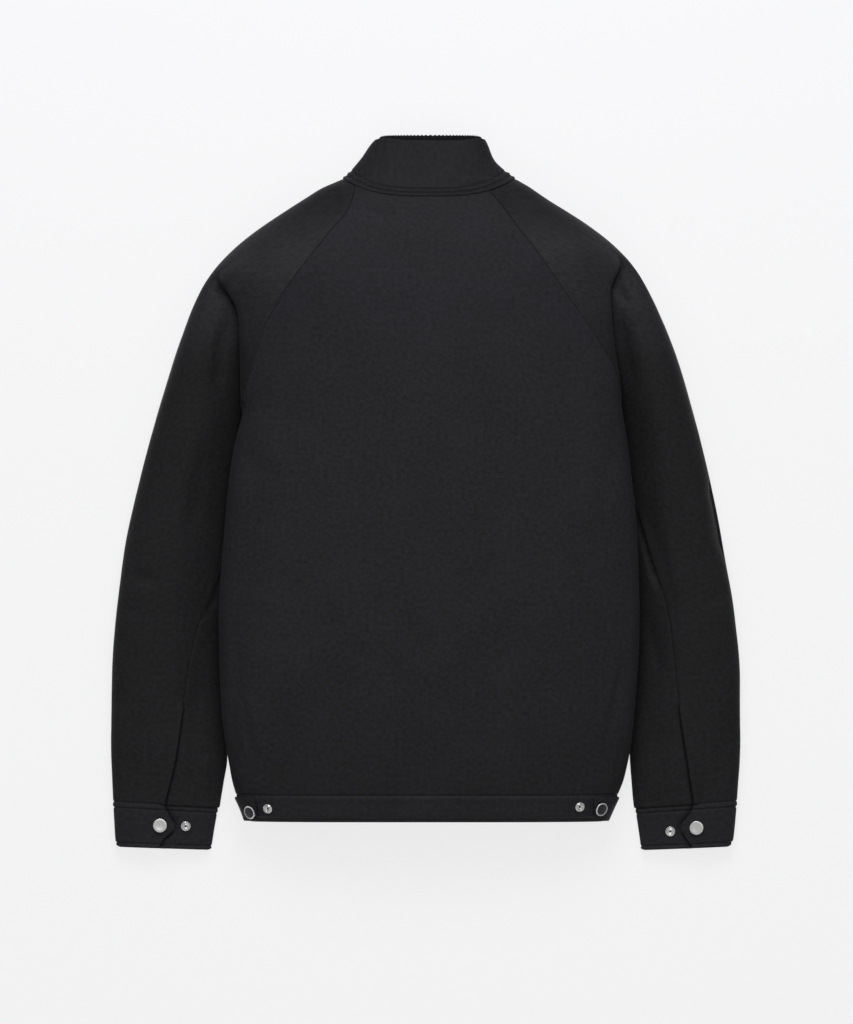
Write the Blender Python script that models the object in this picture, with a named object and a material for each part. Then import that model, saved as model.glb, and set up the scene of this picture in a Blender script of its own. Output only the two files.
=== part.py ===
"""Bomber jacket lying on its front, back upward, softly filled out and hollow.

World frame: +X toward the jacket's right sleeve as seen from above, +Y toward the collar, +Z up.
Cross sections are taken at heights along Y. All sizes below are millimetres; meshes are metres.
"""
import bpy
import bmesh
import functools
import math
import numpy as np
from mathutils import Matrix, Vector

MM = 0.001

# ---- cloth ------------------------------------------------------------------------------
WALL = 1.8              # body cloth with its bonded backing
BAND_WALL = 2.2         # doubled cloth of hem band, cuffs and collar
TAB_WALL = 2.0          # snap tabs
FACING_WALL = 1.5       # ribbed collar facing
SEAM = 0.3              # gap between neighbouring pieces
LAYER = 0.35            # gap between cloth lying on cloth

# ---- levels along Y ---------------------------------------------------------------------
CENTRE = (0.1, 1.55, 0.0)   # middle of the finished piece, which becomes the origin
HEM_BOTTOM = -352.6
HEM_SEAM = -325.0
UNDERARM = 82.0
NECK_SIDE = 340.7       # where the neck seam crosses the outline
NECK_BACK_DROP = 20.0   # how far the neck seam dips at centre back
NECK_FRONT_DROP = 72.0  # and at centre front
COLLAR_TOP = 385.6
COLLAR_FRONT_DIP = 57.0
CUFF_SEAM = -336.0
CUFF_BOTTOM = -380.0
COLLAR_MIDDLE = 3.7     # X of the middle of the neck seam
COLLAR_HALF = 93.3      # half the width of the neck seam
NECK_BACK_POWER = 3.2   # how flat the neck seam runs across the back
NECK_FRONT_POWER = 2.2
BACK_WARP_START = 262.0     # above this level the back's rows bend toward the neck seam
FRONT_WARP_START = 150.0
WARP_POWER = 1.5

# ---- rounding ---------------------------------------------------------------------------
BODY_TUCK = 30.0        # width of the body's lower corner, turning in under the back
SLEEVE_TUCK = 8.0       # how far the sleeve lies under the body's edge
SLEEVE_CORNER = 14.0    # width of the sleeve's outer lower corner
TOE_CORNER = 5.0
CROWN_POWER = 3.7       # fullness of the back's cross section
CROWN_ROOT = 2.0
SLEEVE_PEAK = 0.42      # place of the sleeve's highest line, from its outer edge
SLEEVE_OUTER_POWER = 2.3    # fullness of the sleeve's outer flank
SLEEVE_PRESSED_POWER = 1.25     # and of its inner flank, where the body presses on it
SLEEVE_ROUND_POWER = 1.6        # and where it lies free
SPREAD_POWER = 0.9      # brings a path's points closer to the body's edge
SIDE_SEAM_SHARE = 0.62  # place of the side seam on the body's lower corner
CREASE_FADE = 32.0      # length over which the shoulder crease runs out
GROOVE_POWER = 1.6      # how steeply the cloth turns in below the body's edge
SEAM_INSET = 1.0        # least distance of the raglan seam from the body's edge
SEAM_BEHIND = 4.0       # how far from the groove's bottom the raglan seam ends
CUFF_MIDDLE = 281.0     # distance of the cuffs' middle from the origin
TILT_START = -250.0     # below this level the sleeve's rows turn to the cuff's slope
TILT_LENGTH = 80.0

# ---- front zip --------------------------------------------------------------------------
ZIP_X = 3.0
CHANNEL_HALF = 19.0     # the fronts rise to the zip inside this half width
CHANNEL_SLOPE = 6.0
CHANNEL_DEPTH = 6.6
CHAIN_WIDTH = 6.0
CHAIN_THICK = 2.6
TAPE_WIDTH = 11.0
TAPE_THICK = 0.9
ZIP_TOP = 262.0

# ---- snaps ------------------------------------------------------------------------------
CAP_RADIUS = 7.4
CAP_HEIGHT = 2.4
STUD_RADIUS = 5.2
STUD_HEIGHT = 2.0
CAP_LIFT = 0.6          # snap's base over the cloth, clear of its curve
STUD_LIFT = 0.35
CUFF_STUD_LIFT = -1.6   # the cuff's under layer lies deeper than its tab


def table(names, rows):
    """Named columns from rows that run from low to high Y."""
    columns = np.array(sorted(rows), dtype=float).T
    return dict(zip(names.split(), columns))


# the whole outline seen from above, sleeves included
OUTLINE = table("y left right", [
    (385.6, -47.6, 61.0),
    (381.8, -55.0, 64.8),
    (360.0, -71.3, 74.5),
    (340.7, -89.6, 97.0),
    (327.8, -115.6, 115.6),
    (306.2, -150.0, 151.0),
    (284.6, -182.5, 183.6),
    (263.0, -208.4, 209.5),
    (241.4, -229.0, 227.9),
    (219.8, -243.0, 240.8),
    (165.8, -264.6, 264.6),
    (101.0, -285.1, 285.1),
    (-7.0, -314.3, 312.1),
    (-71.8, -327.2, 324.0),
    (-136.6, -334.8, 334.8),
    (-201.4, -339.1, 340.2),
    (-266.2, -340.2, 340.2),
    (-331.0, -338.0, 337.0),
    (-375.3, -335.6, 333.0),
    (-382.0, -334.0, 330.0),
])

# the edge that the body and shoulder cloth folds over, on to the sleeves
BODY_EDGE = table("y left right z_left z_right", [
    (250.0, -221.6, 221.2, 17, 16),
    (243.5, -227.0, 212.8, 17, 19),
    (234.9, -234.0, 206.3, 17, 23),
    (231.5, -235.6, 203.2, 16, 25),
    (227.3, -224.6, 200.9, 19, 27),
    (217.6, -216.0, 198.9, 23, 29),
    (209.0, -208.4, 199.3, 27, 30),
    (198.0, -203.0, 200.9, 29, 30),
    (171.0, -201.0, 203.0, 30, 30),
    (128.0, -200.3, 209.5, 30, 30),
    (90.0, -199.8, 213.3, 30, 30),
    (36.0, -209.5, 220.3, 30, 30),
    (-50.0, -218.2, 229.0, 29, 29),
    (-137.0, -223.6, 231.1, 28, 28),
    (-223.0, -221.4, 226.8, 27, 27),
    (-285.0, -213.8, 219.8, 25, 25),
    (-325.0, -204.6, 207.8, 23, 23),
    (-340.0, -198.2, 201.2, 22, 22),
    (-352.6, -193.6, 195.6, 21, 21),
])
CREASE_END = {-1: 231.5, 1: 250.0}

# height of the middle of the back, and of the outline's widest line above the surface
CROWN = table("y height edge", [
    (385.6, 28, 13),
    (360.0, 35, 15),
    (340.7, 41, 16),
    (320.0, 48, 17),
    (306.0, 53, 18),
    (263.0, 65, 17),
    (200.0, 75, 15),
    (120.0, 80, 14),
    (-100.0, 80, 14),
    (-285.0, 76, 14),
    (-325.0, 72, 14),
    (-352.6, 68, 14),
])

# the sleeve as it hangs: height, widest line of its outer edge, its edge beside the body,
# and whether that edge is round or pressed thin under the body
SLEEVE = table("y height nose toe round", [
    (250.0, 20, 15, 15, 0),
    (225.0, 24, 15, 19, 0),
    (200.0, 31, 14, 21, 0),
    (150.0, 37, 14, 18, 0),
    (82.0, 38, 14, 7, 0),
    (60.0, 38, 14, 5, 0),
    (-50.0, 35, 13, 5, 0),
    (-150.0, 32, 12, 5, 0),
    (-240.0, 28, 10, 5, 0.3),
    (-300.0, 24, 9, 6, 1),
    (-333.0, 21, 9, 7, 1),
    (-382.0, 19, 8, 8, 1),
])

# inner edge of the sleeve below the underarm
TOE = table("y left right", [
    (82.0, -192.2, 206.0),
    (0.0, -205.5, 216.5),
    (-100.0, -214.4, 222.9),
    (-180.0, -215.8, 221.6),
    (-240.0, -214.0, 219.6),
    (-285.0, -214.3, 220.9),
    (-309.0, -218.0, 222.8),
    (-331.0, -221.8, 224.8),
    (-382.0, -230.2, 231.5),
])

# seam between back and sleeve, and its like on the front
RAGLAN_BACK = table("y left right", [
    (340.0, -73.0, 61.0),
    (333.0, -75.6, 65.0),
    (310.0, -81.5, 83.0),
    (280.0, -105.0, 105.0),
    (256.0, -124.4, 124.0),
    (228.0, -145.4, 143.0),
    (197.0, -164.6, 164.5),
    (170.0, -178.0, 183.5),
    (146.0, -184.0, 198.7),
    (123.0, -191.5, 208.6),
    (95.0, -199.0, 213.0),
])
RAGLAN_FRONT = table("y left right", [
    (312.0, -72.0, 79.0),
    (280.0, -97.0, 104.0),
    (240.0, -125.0, 132.0),
    (200.0, -149.0, 156.0),
    (160.0, -170.0, 179.0),
    (120.0, -182.0, 192.0),
    (82.0, -189.5, 203.0),
])

# seams of the hanging sleeve: elbow side on top, forearm side beneath
HINDARM = table("y left right", [
    (82.0, -194.6, 208.6),
    (20.0, -210.0, 219.0),
    (-12.0, -214.5, 228.0),
    (-72.0, -222.0, 246.0),
    (-99.0, -229.0, 254.0),
    (-150.0, -247.0, 265.0),
    (-196.0, -257.0, 270.0),
    (-236.0, -263.0, 275.4),
    (-288.0, -271.0, 283.5),
    (-333.0, -282.0, 290.5),
])
FOREARM = table("y left right", [
    (82.0, -200.0, 213.5),
    (-50.0, -232.0, 240.0),
    (-333.0, -262.0, 266.0),
])

# level of the raglan seam where it starts to turn in under the body's edge
TURN_IN = {-1: 104.0, 1: 122.0}
# slope of cuff seam and cuff bottom across the sleeve
CUFF_SLOPE = {-1: -0.062, 1: 0.075}

SIDE = {-1: "left", 1: "right"}


def read(tab, column, y):
    """Smooth value of a column at y, without overshoot between the rows."""
    xs = tab["y"]
    ys = tab[column]
    y = np.clip(np.asarray(y, dtype=float), xs[0], xs[-1])
    steps = np.diff(xs)
    rates = np.diff(ys) / steps
    slopes = np.empty_like(ys)
    slopes[0] = rates[0]
    slopes[-1] = rates[-1]
    product = rates[:-1] * rates[1:]
    total = rates[:-1] + rates[1:]
    slopes[1:-1] = np.where(product > 0, 2 * product / np.where(total == 0, 1, total), 0)
    i = np.clip(np.searchsorted(xs, y) - 1, 0, len(xs) - 2)
    h = steps[i]
    t = (y - xs[i]) / h
    value = ys[i] * (1 + 2 * t) * (1 - t) ** 2 + h * slopes[i] * t * (1 - t) ** 2
    value += ys[i + 1] * t ** 2 * (3 - 2 * t) + h * slopes[i + 1] * t ** 2 * (t - 1)
    return value


def ease(t):
    t = np.clip(t, 0, 1)
    return t * t * (3 - 2 * t)


def outline(side, y):
    return read(OUTLINE, SIDE[side], y)


def body_edge(side, y):
    """X of the edge of the body's own cloth: the crease, and above it the outline."""
    y = np.asarray(y, dtype=float)
    folded = read(BODY_EDGE, SIDE[side], y)
    return np.where(y < CREASE_END[side], folded, outline(side, y))


def body_edge_z(side, y):
    y = np.asarray(y, dtype=float)
    folded = read(BODY_EDGE, "z_" + SIDE[side], y)
    return np.where(y < CREASE_END[side], folded, read(CROWN, "edge", y))


def crown(x, y):
    """Height of the back's outer surface at (x, y)."""
    left = body_edge(-1, y)
    right = body_edge(1, y)
    middle = (left + right) / 2
    half = (right - left) / 2
    u = np.clip((x - middle) / half, -1, 1)
    edge = np.where(u < 0, body_edge_z(-1, y), body_edge_z(1, y))
    rise = (1 - np.abs(u) ** CROWN_POWER) ** (1 / CROWN_ROOT)
    return edge + (read(CROWN, "height", y) - edge) * rise


def hump(t, y, end=None):
    """Sleeve height at level y, along t = 0..1 from its outer edge to its inner edge."""
    start = read(SLEEVE, "nose", y)
    peak = read(SLEEVE, "height", y)
    round_share = read(SLEEVE, "round", y)
    if end is None:
        end = read(SLEEVE, "toe", y)
    t = np.clip(t, 0, 1)
    outer = np.clip(1 - t / SLEEVE_PEAK, 0, 1)
    inner = np.clip((t - SLEEVE_PEAK) / (1 - SLEEVE_PEAK), 0, 1)
    rising = start + (peak - start) * (1 - outer ** SLEEVE_OUTER_POWER) ** (1 / SLEEVE_OUTER_POWER)
    pressed = np.sin(math.pi / 2 * (1 - inner)) ** SLEEVE_PRESSED_POWER
    rounded = (1 - inner ** SLEEVE_ROUND_POWER) ** (1 / SLEEVE_ROUND_POWER)
    falling = end + (peak - end) * (pressed + (rounded - pressed) * round_share)
    return np.where(t < SLEEVE_PEAK, rising, falling)


def channel(x):
    """Rise of the fronts to the zip, so that its pull tab clears the surface."""
    return CHANNEL_DEPTH * ease((CHANNEL_HALF - np.abs(x - ZIP_X)) / CHANNEL_SLOPE)


def neck_back(x):
    """Y of the neck seam on the back."""
    u = np.clip((x - COLLAR_MIDDLE) / COLLAR_HALF, -1, 1)
    return NECK_SIDE - NECK_BACK_DROP * (1 - np.abs(u) ** NECK_BACK_POWER)


def neck_front(x):
    """Y of the neck seam on the front."""
    u = np.clip((x - COLLAR_MIDDLE) / COLLAR_HALF, -1, 1)
    return NECK_SIDE - NECK_FRONT_DROP * (1 - np.abs(u) ** NECK_FRONT_POWER)


def back_warp(y):
    """How far a row that meets the outline at y follows the neck seam on the back."""
    return np.clip((y - BACK_WARP_START) / (NECK_SIDE - BACK_WARP_START), 0, 1) ** WARP_POWER


def front_warp(y):
    return np.clip((y - FRONT_WARP_START) / (NECK_SIDE - FRONT_WARP_START), 0, 1) ** WARP_POWER


class Path:
    """A dense line of points with its arc lengths in the XZ plane."""

    def __init__(self, points, side=1):
        self.points = np.array(points, dtype=float)
        steps = np.diff(self.points[:, [0, 2]], axis=0)
        self.length = np.concatenate([[0], np.cumsum(np.hypot(steps[:, 0], steps[:, 1]))])
        self.side = side

    def at(self, s):
        return np.array([np.interp(s, self.length, self.points[:, k]) for k in range(3)]).T

    def outward(self, s):
        """Outward normals in the XZ plane."""
        span = 0.4
        step = self.at(np.asarray(s) + span) - self.at(np.asarray(s) - span)
        normal = self.side * np.stack([-step[:, 2], step[:, 0]], axis=1)
        return normal / np.linalg.norm(normal, axis=1)[:, None]

    def crossing(self, signed, first, last):
        """Arc length where signed(points) turns from negative to positive, between two indices."""
        values = signed(self.points[first:last])
        return float(np.interp(0, values, self.length[first:last]))


def quarter(count):
    return np.linspace(0, math.pi / 2, count)


# levels at which the pieces along the raglan seams share corners
LOWER_ROWS = [-290, -240, -180, -120, -60, 0, 45, 70]
UPPER_ROWS = [95, 108, 122, 145, 180]
SHOULDER_ROWS = [212, 236, 262, 283, 303, 322]
BACK_ROWS = [UNDERARM] + UPPER_ROWS + SHOULDER_ROWS + [NECK_SIDE]
FRONT_ROWS = [UNDERARM, 108, 145, 180, 236, 283, NECK_SIDE]


def seam_corners(side, tab, levels, warp, neck):
    """Corners of a raglan seam where rows meet it, from low to high Y."""
    corners = []
    for level in levels:
        x = read(tab, SIDE[side], level)
        for _ in range(20):
            y = level + warp(level) * (neck(x) - NECK_SIDE)
            x = read(tab, SIDE[side], y)
        corners.append((float(y), float(x)))
    return np.array(corners).T


def straight_seams():
    """Raglan seams as straight stretches between shared corners, for back and front of each side."""
    seams = {}
    for side in (-1, 1):
        seams["back", side] = seam_corners(side, RAGLAN_BACK, BACK_ROWS, back_warp, neck_back)
        seams["front", side] = seam_corners(side, RAGLAN_FRONT, FRONT_ROWS, front_warp, neck_front)
    return seams


SEAMS = straight_seams()


def seam_x(face, side, y):
    ys, xs = SEAMS[face, side]
    return np.interp(y, ys, xs)


def body_half(side, y):
    """Half ring of the body below the underarm: centre back, side, centre front."""
    centre = ZIP_X
    edge = float(body_edge(side, y))
    edge_z = float(body_edge_z(side, y))
    reach = abs(edge - centre)
    x = centre + side * reach * np.sin(quarter(90)) ** SPREAD_POWER
    top = np.stack([x, np.full_like(x, y), crown(x, y)], axis=1)
    top[-1, 2] = edge_z
    corner = quarter(30)[1:]
    x = edge - side * BODY_TUCK * (1 - np.cos(corner))
    z = edge_z * (1 - np.sin(corner))
    under = np.stack([x, np.full_like(x, y), z], axis=1)
    x = np.linspace(under[-1, 0], centre, 90)[1:]
    flat = np.stack([x, np.full_like(x, y), channel(x)], axis=1)
    path = Path(np.concatenate([top, under, flat]), side)
    path.edge = path.length[len(top) - 1]
    corner_end = path.length[len(top) + len(under) - 1]
    path.side_seam = path.edge + SIDE_SEAM_SHARE * (corner_end - path.edge)
    return path


def shoulder_half(side, y):
    """Half ring above the underarm, body and sleeve in one: centre back, outer edge, centre front."""
    back_lift = back_warp(y)
    front_lift = front_warp(y)
    nose_x = float(outline(side, y))
    folded = y < CREASE_END[side]
    edge_x = float(body_edge(side, y))
    reach = abs(edge_x - ZIP_X)
    x = ZIP_X + side * reach * np.sin(quarter(110)) ** SPREAD_POWER
    ys = y + back_lift * (neck_back(x) - NECK_SIDE)
    top = np.stack([x, ys, crown(x, ys)], axis=1)
    top[-1, 2] = body_edge_z(side, y)
    parts = [top]
    nose_z = float(read(SLEEVE, "nose", y) if folded else read(CROWN, "edge", y))
    if folded:
        depth = float(ease((CREASE_END[side] - y) / CREASE_FADE))
        groove_x = edge_x - side * SLEEVE_TUCK * depth
        edge_z = float(top[-1, 2])
        groove_z = min(float(read(SLEEVE, "toe", y)), edge_z - 1.0)
        share = np.linspace(0, 1, 14)[1:]
        x = edge_x - side * SLEEVE_TUCK * depth * share ** GROOVE_POWER
        z = edge_z - (edge_z - groove_z) * share
        parts.append(np.stack([x, np.full_like(x, y), z], axis=1))
        t = np.cos(quarter(80))[1:]
        x = nose_x + (groove_x - nose_x) * t
        z = hump(t, y, groove_z)
        parts.append(np.stack([x, np.full_like(x, y), z], axis=1))
    count = sum(len(part) for part in parts)
    corner = quarter(16)[1:]
    x = nose_x - side * SLEEVE_CORNER * (1 - np.cos(corner))
    ys = y + front_lift * (neck_front(x) - NECK_SIDE)
    parts.append(np.stack([x, ys, nose_z * (1 - np.sin(corner))], axis=1))
    x = np.linspace(x[-1], ZIP_X, 110)[1:]
    ys = y + front_lift * (neck_front(x) - NECK_SIDE)
    parts.append(np.stack([x, ys, channel(x)], axis=1))
    path = Path(np.concatenate(parts), side)
    path.nose = path.length[count - 1]
    path.edge = path.length[len(top) - 1]
    path.groove = path.length[len(top) + 12] if folded else None
    before_edge = len(top) - 1
    path.back_seam = path.crossing(
        lambda p: side * (p[:, 0] - seam_x("back", side, p[:, 1])), 0, before_edge)
    path.front_seam = path.crossing(
        lambda p: side * (seam_x("front", side, p[:, 1]) - p[:, 0]), count + 12, len(path.points))
    return path


def raglan_mark(side, y, path):
    """Arc length of the raglan seam, which turns in under the body's edge near the underarm."""
    if y > TURN_IN[side]:
        return min(path.back_seam, path.edge - SEAM_INSET)
    turn = float(ease((TURN_IN[side] - y) / (TURN_IN[side] - UNDERARM)))
    start = min(path.back_seam, path.edge - SEAM_INSET)
    return start + (path.groove - SEAM_BEHIND - start) * turn


def tilt(side, x, y):
    """Rows near the cuff follow the slope of the cuff seam."""
    middle = side * CUFF_MIDDLE
    weight = ease((TILT_START - y) / TILT_LENGTH)
    return CUFF_SLOPE[side] * (x - middle) * weight


def sleeve_ring(side, y):
    """Closed ring of the hanging sleeve: inner edge, top, outer edge, underside, inner edge."""
    toe_x = float(read(TOE, SIDE[side], y))
    nose_x = float(outline(side, y))
    toe_z = float(read(SLEEVE, "toe", y))
    nose_z = float(read(SLEEVE, "nose", y))
    t = (1 + np.cos(np.linspace(0, math.pi, 150))) / 2
    x = nose_x + (toe_x - nose_x) * t
    top = np.stack([x, np.full_like(x, y), hump(t, y)], axis=1)
    corner = quarter(16)[1:]
    x = nose_x - side * SLEEVE_CORNER * (1 - np.cos(corner))
    outer = np.stack([x, np.full_like(x, y), nose_z * (1 - np.sin(corner))], axis=1)
    end = toe_x + side * TOE_CORNER
    x = np.linspace(x[-1], end, 80)[1:]
    flat = np.stack([x, np.full_like(x, y), np.zeros_like(x)], axis=1)
    corner = quarter(10)[1:]
    x = end - side * TOE_CORNER * np.sin(corner)
    inner = np.stack([x, np.full_like(x, y), toe_z * (1 - np.cos(corner))], axis=1)
    points = np.concatenate([top, outer, flat, inner])
    points[:, 1] += tilt(side, points[:, 0], y)
    once = Path(points, side)
    total = once.length[-1]
    ring = Path(np.concatenate([points[:-1], points]), side)
    ring.total = total
    ring.nose = once.length[len(top) - 1]
    ring.hindarm = once.crossing(
        lambda p: side * (p[:, 0] - read(HINDARM, SIDE[side], y)), 0, 150)
    ring.forearm = once.crossing(
        lambda p: side * (read(FOREARM, SIDE[side], y) - p[:, 0]), len(top) + 14, len(top) + 94)
    return ring


def spaced(start, end, count, bias=0.0):
    """count + 1 positions, denser at both ends with bias toward 1."""
    k = np.linspace(0, 1, count + 1)
    eased = 0.5 - 0.5 * np.cos(math.pi * k)
    return start + (end - start) * ((1 - bias) * k + bias * eased)


def row_of(path, positions):
    return path.at(positions), path.outward(positions)


def make_object(name, vertices, faces, material, smooth=True):
    mesh = bpy.data.meshes.new(name)
    mesh.from_pydata([tuple((v - CENTRE) * MM) for v in vertices], [], faces)
    work = bmesh.new()
    work.from_mesh(mesh)
    bmesh.ops.recalc_face_normals(work, faces=work.faces)
    work.to_mesh(mesh)
    work.free()
    mesh.materials.append(material)
    if smooth:
        mesh.shade_smooth()
        mesh.set_sharp_from_angle(angle=math.radians(50))
    thing = bpy.data.objects.new(name, mesh)
    bpy.context.scene.collection.objects.link(thing)
    return thing


def cloth(name, rows, thick, material, lift=0.0):
    """Closed wall from rows of (points, outward normals); lift moves it off its surface."""
    points = np.array([row[0] for row in rows])
    flat_normals = np.array([row[1] for row in rows])
    along = np.gradient(points, axis=0)
    across = np.gradient(points, axis=1)
    full = np.cross(across, along)
    size = np.linalg.norm(full, axis=2)
    in_plane = np.hypot(full[..., 0], full[..., 2]) / np.where(size == 0, 1, size)
    stretch = 1 / np.clip(in_plane, 0.6, 1)
    stretch[[0, -1]] = 1
    shift = np.zeros_like(points)
    shift[..., 0] = flat_normals[..., 0] * stretch
    shift[..., 2] = flat_normals[..., 1] * stretch
    outer = points + shift * lift
    inner = points + shift * (lift - thick)
    outer[..., 2] = np.maximum(outer[..., 2], 0)
    n, m = points.shape[:2]
    vertices = np.concatenate([outer.reshape(-1, 3), inner.reshape(-1, 3)])

    def index(layer, j, i):
        return layer * n * m + j * m + i

    faces = []
    for j in range(n - 1):
        for i in range(m - 1):
            faces.append((index(0, j, i), index(0, j, i + 1), index(0, j + 1, i + 1), index(0, j + 1, i)))
            faces.append((index(1, j, i), index(1, j + 1, i), index(1, j + 1, i + 1), index(1, j, i + 1)))
    for j in range(n - 1):
        for i in (0, m - 1):
            faces.append((index(0, j, i), index(0, j + 1, i), index(1, j + 1, i), index(1, j, i)))
    for i in range(m - 1):
        for j in (0, n - 1):
            faces.append((index(0, j, i), index(1, j, i), index(1, j, i + 1), index(0, j, i + 1)))
    return make_object(name, vertices, faces, material)


def material(name, colour, roughness, metallic=0.0):
    made = bpy.data.materials.new(name)
    made.use_nodes = True
    shader = made.node_tree.nodes["Principled BSDF"]
    shader.inputs["Base Color"].default_value = (*colour, 1)
    shader.inputs["Roughness"].default_value = roughness
    shader.inputs["Metallic"].default_value = metallic
    made.diffuse_color = (*colour, 1)
    return made


# ---- rows -------------------------------------------------------------------------------
NECK_UNDER_GAP = 0.45   # extra room under the front of the collar, where the seam curves most


def body_levels():
    return [HEM_SEAM + SEAM / 2] + LOWER_ROWS


def trim_neck(points, under):
    """Keeps the top row clear of the neck seam; under marks its points on the front."""
    trimmed = points.copy()
    trimmed[:, 1] -= SEAM / 2 + NECK_UNDER_GAP * under
    return trimmed


def both_sides(left, right):
    """One path from the left half ring's far end over the back to the right one's."""
    return Path(np.concatenate([left.points[:0:-1], right.points]), 1)


BACK_CELLS = 18


def back_row(y):
    if y < UNDERARM:
        halves = [body_half(side, y) for side in (-1, 1)]
        marks = [half.side_seam for half in halves]
    else:
        halves = [shoulder_half(side, y) for side in (-1, 1)]
        marks = [raglan_mark(side, y, half) for side, half in zip((-1, 1), halves)]
    whole = both_sides(*halves)
    middle = halves[0].length[-1]
    start = middle - marks[0] + SEAM / 2
    end = middle + marks[1] - SEAM / 2
    points, normals = row_of(whole, spaced(start, end, BACK_CELLS, 0.75))
    if y >= NECK_SIDE:
        points = trim_neck(points, 0)
    return points, normals


def make_back(fabric):
    levels = body_levels() + BACK_ROWS
    return cloth("back", [back_row(y) for y in levels], WALL, fabric)


def zip_edge(path):
    """Arc length of the front's edge beside the zip chain."""
    return path.length[-1] - CHAIN_WIDTH / 2 - SEAM


def front_row(side, y):
    if y < UNDERARM:
        half = body_half(side, y)
        start = half.side_seam
    else:
        half = shoulder_half(side, y)
        start = half.front_seam
    end = zip_edge(half)
    rise = end - (CHANNEL_HALF - CHAIN_WIDTH / 2)
    beside = spaced(start + SEAM / 2, rise, 6, 0.6)
    slope = np.linspace(rise, end, 4)[1:]
    points, normals = row_of(half, np.concatenate([beside, slope]))
    if y >= NECK_SIDE:
        points = trim_neck(points, 1)
    return points, normals


def make_front(side, fabric):
    levels = body_levels() + FRONT_ROWS
    return cloth("front_" + SIDE[side], [front_row(side, y) for y in levels], WALL, fabric)


SLEEVE_TOP_CELLS = 11
GROOVE_CELLS = 4
SLEEVE_UNDER_CELLS = 5
UNDERARM_FOLD = 0.04    # share of the sleeve's top that the close cells cover at the underarm
ELBOW_FOLD = 0.33       # and lower down
ELBOW_FADE = 120.0      # the length between the two
CREASE_FOLD = 0.9       # the same share where the shoulder crease ends
NECK_FADE = 60.0


def upper_sleeve_row(side, y):
    """From raglan or hindarm seam over the outer edge to the seam beneath."""
    if y < UNDERARM:
        path = sleeve_ring(side, y)
        start = path.hindarm + SEAM / 2
        end = path.forearm - SEAM / 2
        nose = path.nose
        lower = float(ease((UNDERARM - y) / ELBOW_FADE))
        share = UNDERARM_FOLD + (ELBOW_FOLD - UNDERARM_FOLD) * lower
        fold = start + (nose - start) * share
    else:
        path = shoulder_half(side, y)
        start = raglan_mark(side, y, path) + SEAM / 2
        end = path.front_seam - SEAM
        nose = path.nose
        if path.groove:
            fold = path.groove
        else:
            near = 1 - float(ease((y - CREASE_END[side]) / NECK_FADE))
            fold = start + (nose - start) * (ELBOW_FOLD + (CREASE_FOLD - ELBOW_FOLD) * near)
    first = np.linspace(start, fold, GROOVE_CELLS + 1)
    second = spaced(fold, nose, SLEEVE_TOP_CELLS - GROOVE_CELLS, 0.6)[1:]
    third = spaced(nose, end, SLEEVE_UNDER_CELLS, 0.5)[1:]
    points, normals = row_of(path, np.concatenate([first, second, third]))
    if y >= NECK_SIDE:
        points = trim_neck(points, 1)
    return points, normals


def make_upper_sleeve(side, fabric):
    crease = CREASE_END[side]
    shoulder = [212, crease - 14, crease - 5, crease + 1.0, crease + 14, 275, 292, 308, 322, 332]
    levels = [CUFF_SEAM + SEAM / 2] + LOWER_ROWS + [UNDERARM - 4, UNDERARM] + UPPER_ROWS
    levels = sorted(set(levels + shoulder)) + [NECK_SIDE]
    name = "sleeve_upper_" + SIDE[side]
    return cloth(name, [upper_sleeve_row(side, y) for y in levels], WALL, fabric)


def under_sleeve_row(side, y):
    ring = sleeve_ring(side, y)
    start = ring.forearm + SEAM / 2
    toe = ring.total
    end = ring.total + ring.hindarm - SEAM / 2
    positions = np.concatenate([spaced(start, toe, 5, 0.5), spaced(toe, end, 4, 0.3)[1:]])
    return row_of(ring, positions)


def make_under_sleeve(side, fabric):
    levels = [CUFF_SEAM + SEAM / 2] + LOWER_ROWS + [UNDERARM - 4 - SEAM]
    name = "sleeve_under_" + SIDE[side]
    return cloth(name, [under_sleeve_row(side, y) for y in levels], WALL, fabric)


# ---- cuffs ------------------------------------------------------------------------------
# the pointed tab end: share of the cuff's height, and x of its edge
TAB_POINT = {
    -1: table("y x", [(0.0, -288.5), (0.2, -283.5), (0.5, -270.8), (0.78, -277.5), (1.0, -283.2)]),
    1: table("y x", [(0.0, 289.5), (0.22, 282.0), (0.5, 275.6), (0.8, 286.0), (1.0, 290.5)]),
}
CUFF_LAP = 30.0         # how far the strip runs on under its own tab
SINK_END = 0.9          # share of the turn at which the strip is back on its outer level


def cuff_sink(done):
    """Depth of the strip below its outer level, done being the share of its turn."""
    return (BAND_WALL + LAYER) * (1 - ease(done / SINK_END))


def cuff_row(side, share):
    """One turn of the cuff strip, from its hidden start under the tab round to the tab's point."""
    y = CUFF_BOTTOM + (CUFF_SEAM - SEAM / 2 - CUFF_BOTTOM) * share
    ring = sleeve_ring(side, y)
    tip_x = float(read(TAB_POINT[side], "x", share))
    tip = ring.crossing(lambda p: side * (p[:, 0] - tip_x), 0, 149)
    begin = tip + CUFF_LAP
    positions = np.concatenate([
        np.linspace(begin, tip, 3) + ring.total,
        spaced(tip, 0.5, 5, 0.3)[1:] + ring.total,
        spaced(ring.total, ring.nose, 7, 0.6)[1:],
        np.linspace(ring.nose, begin, 3)[1:],
        np.linspace(begin, tip, 4)[1:],
    ])
    points, normals = row_of(ring, positions)
    sink = cuff_sink((positions[0] - positions) / (positions[0] - tip))
    points[:, 0] -= normals[:, 0] * sink
    points[:, 2] -= normals[:, 1] * sink
    points[:, 2] = np.maximum(points[:, 2], 0)
    return points, normals


def make_cuff(side, fabric):
    shares = [0.0, 0.22, 0.5, 0.78, 1.0]
    return cloth("cuff_" + SIDE[side], [cuff_row(side, share) for share in shares], BAND_WALL, fabric)


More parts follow.
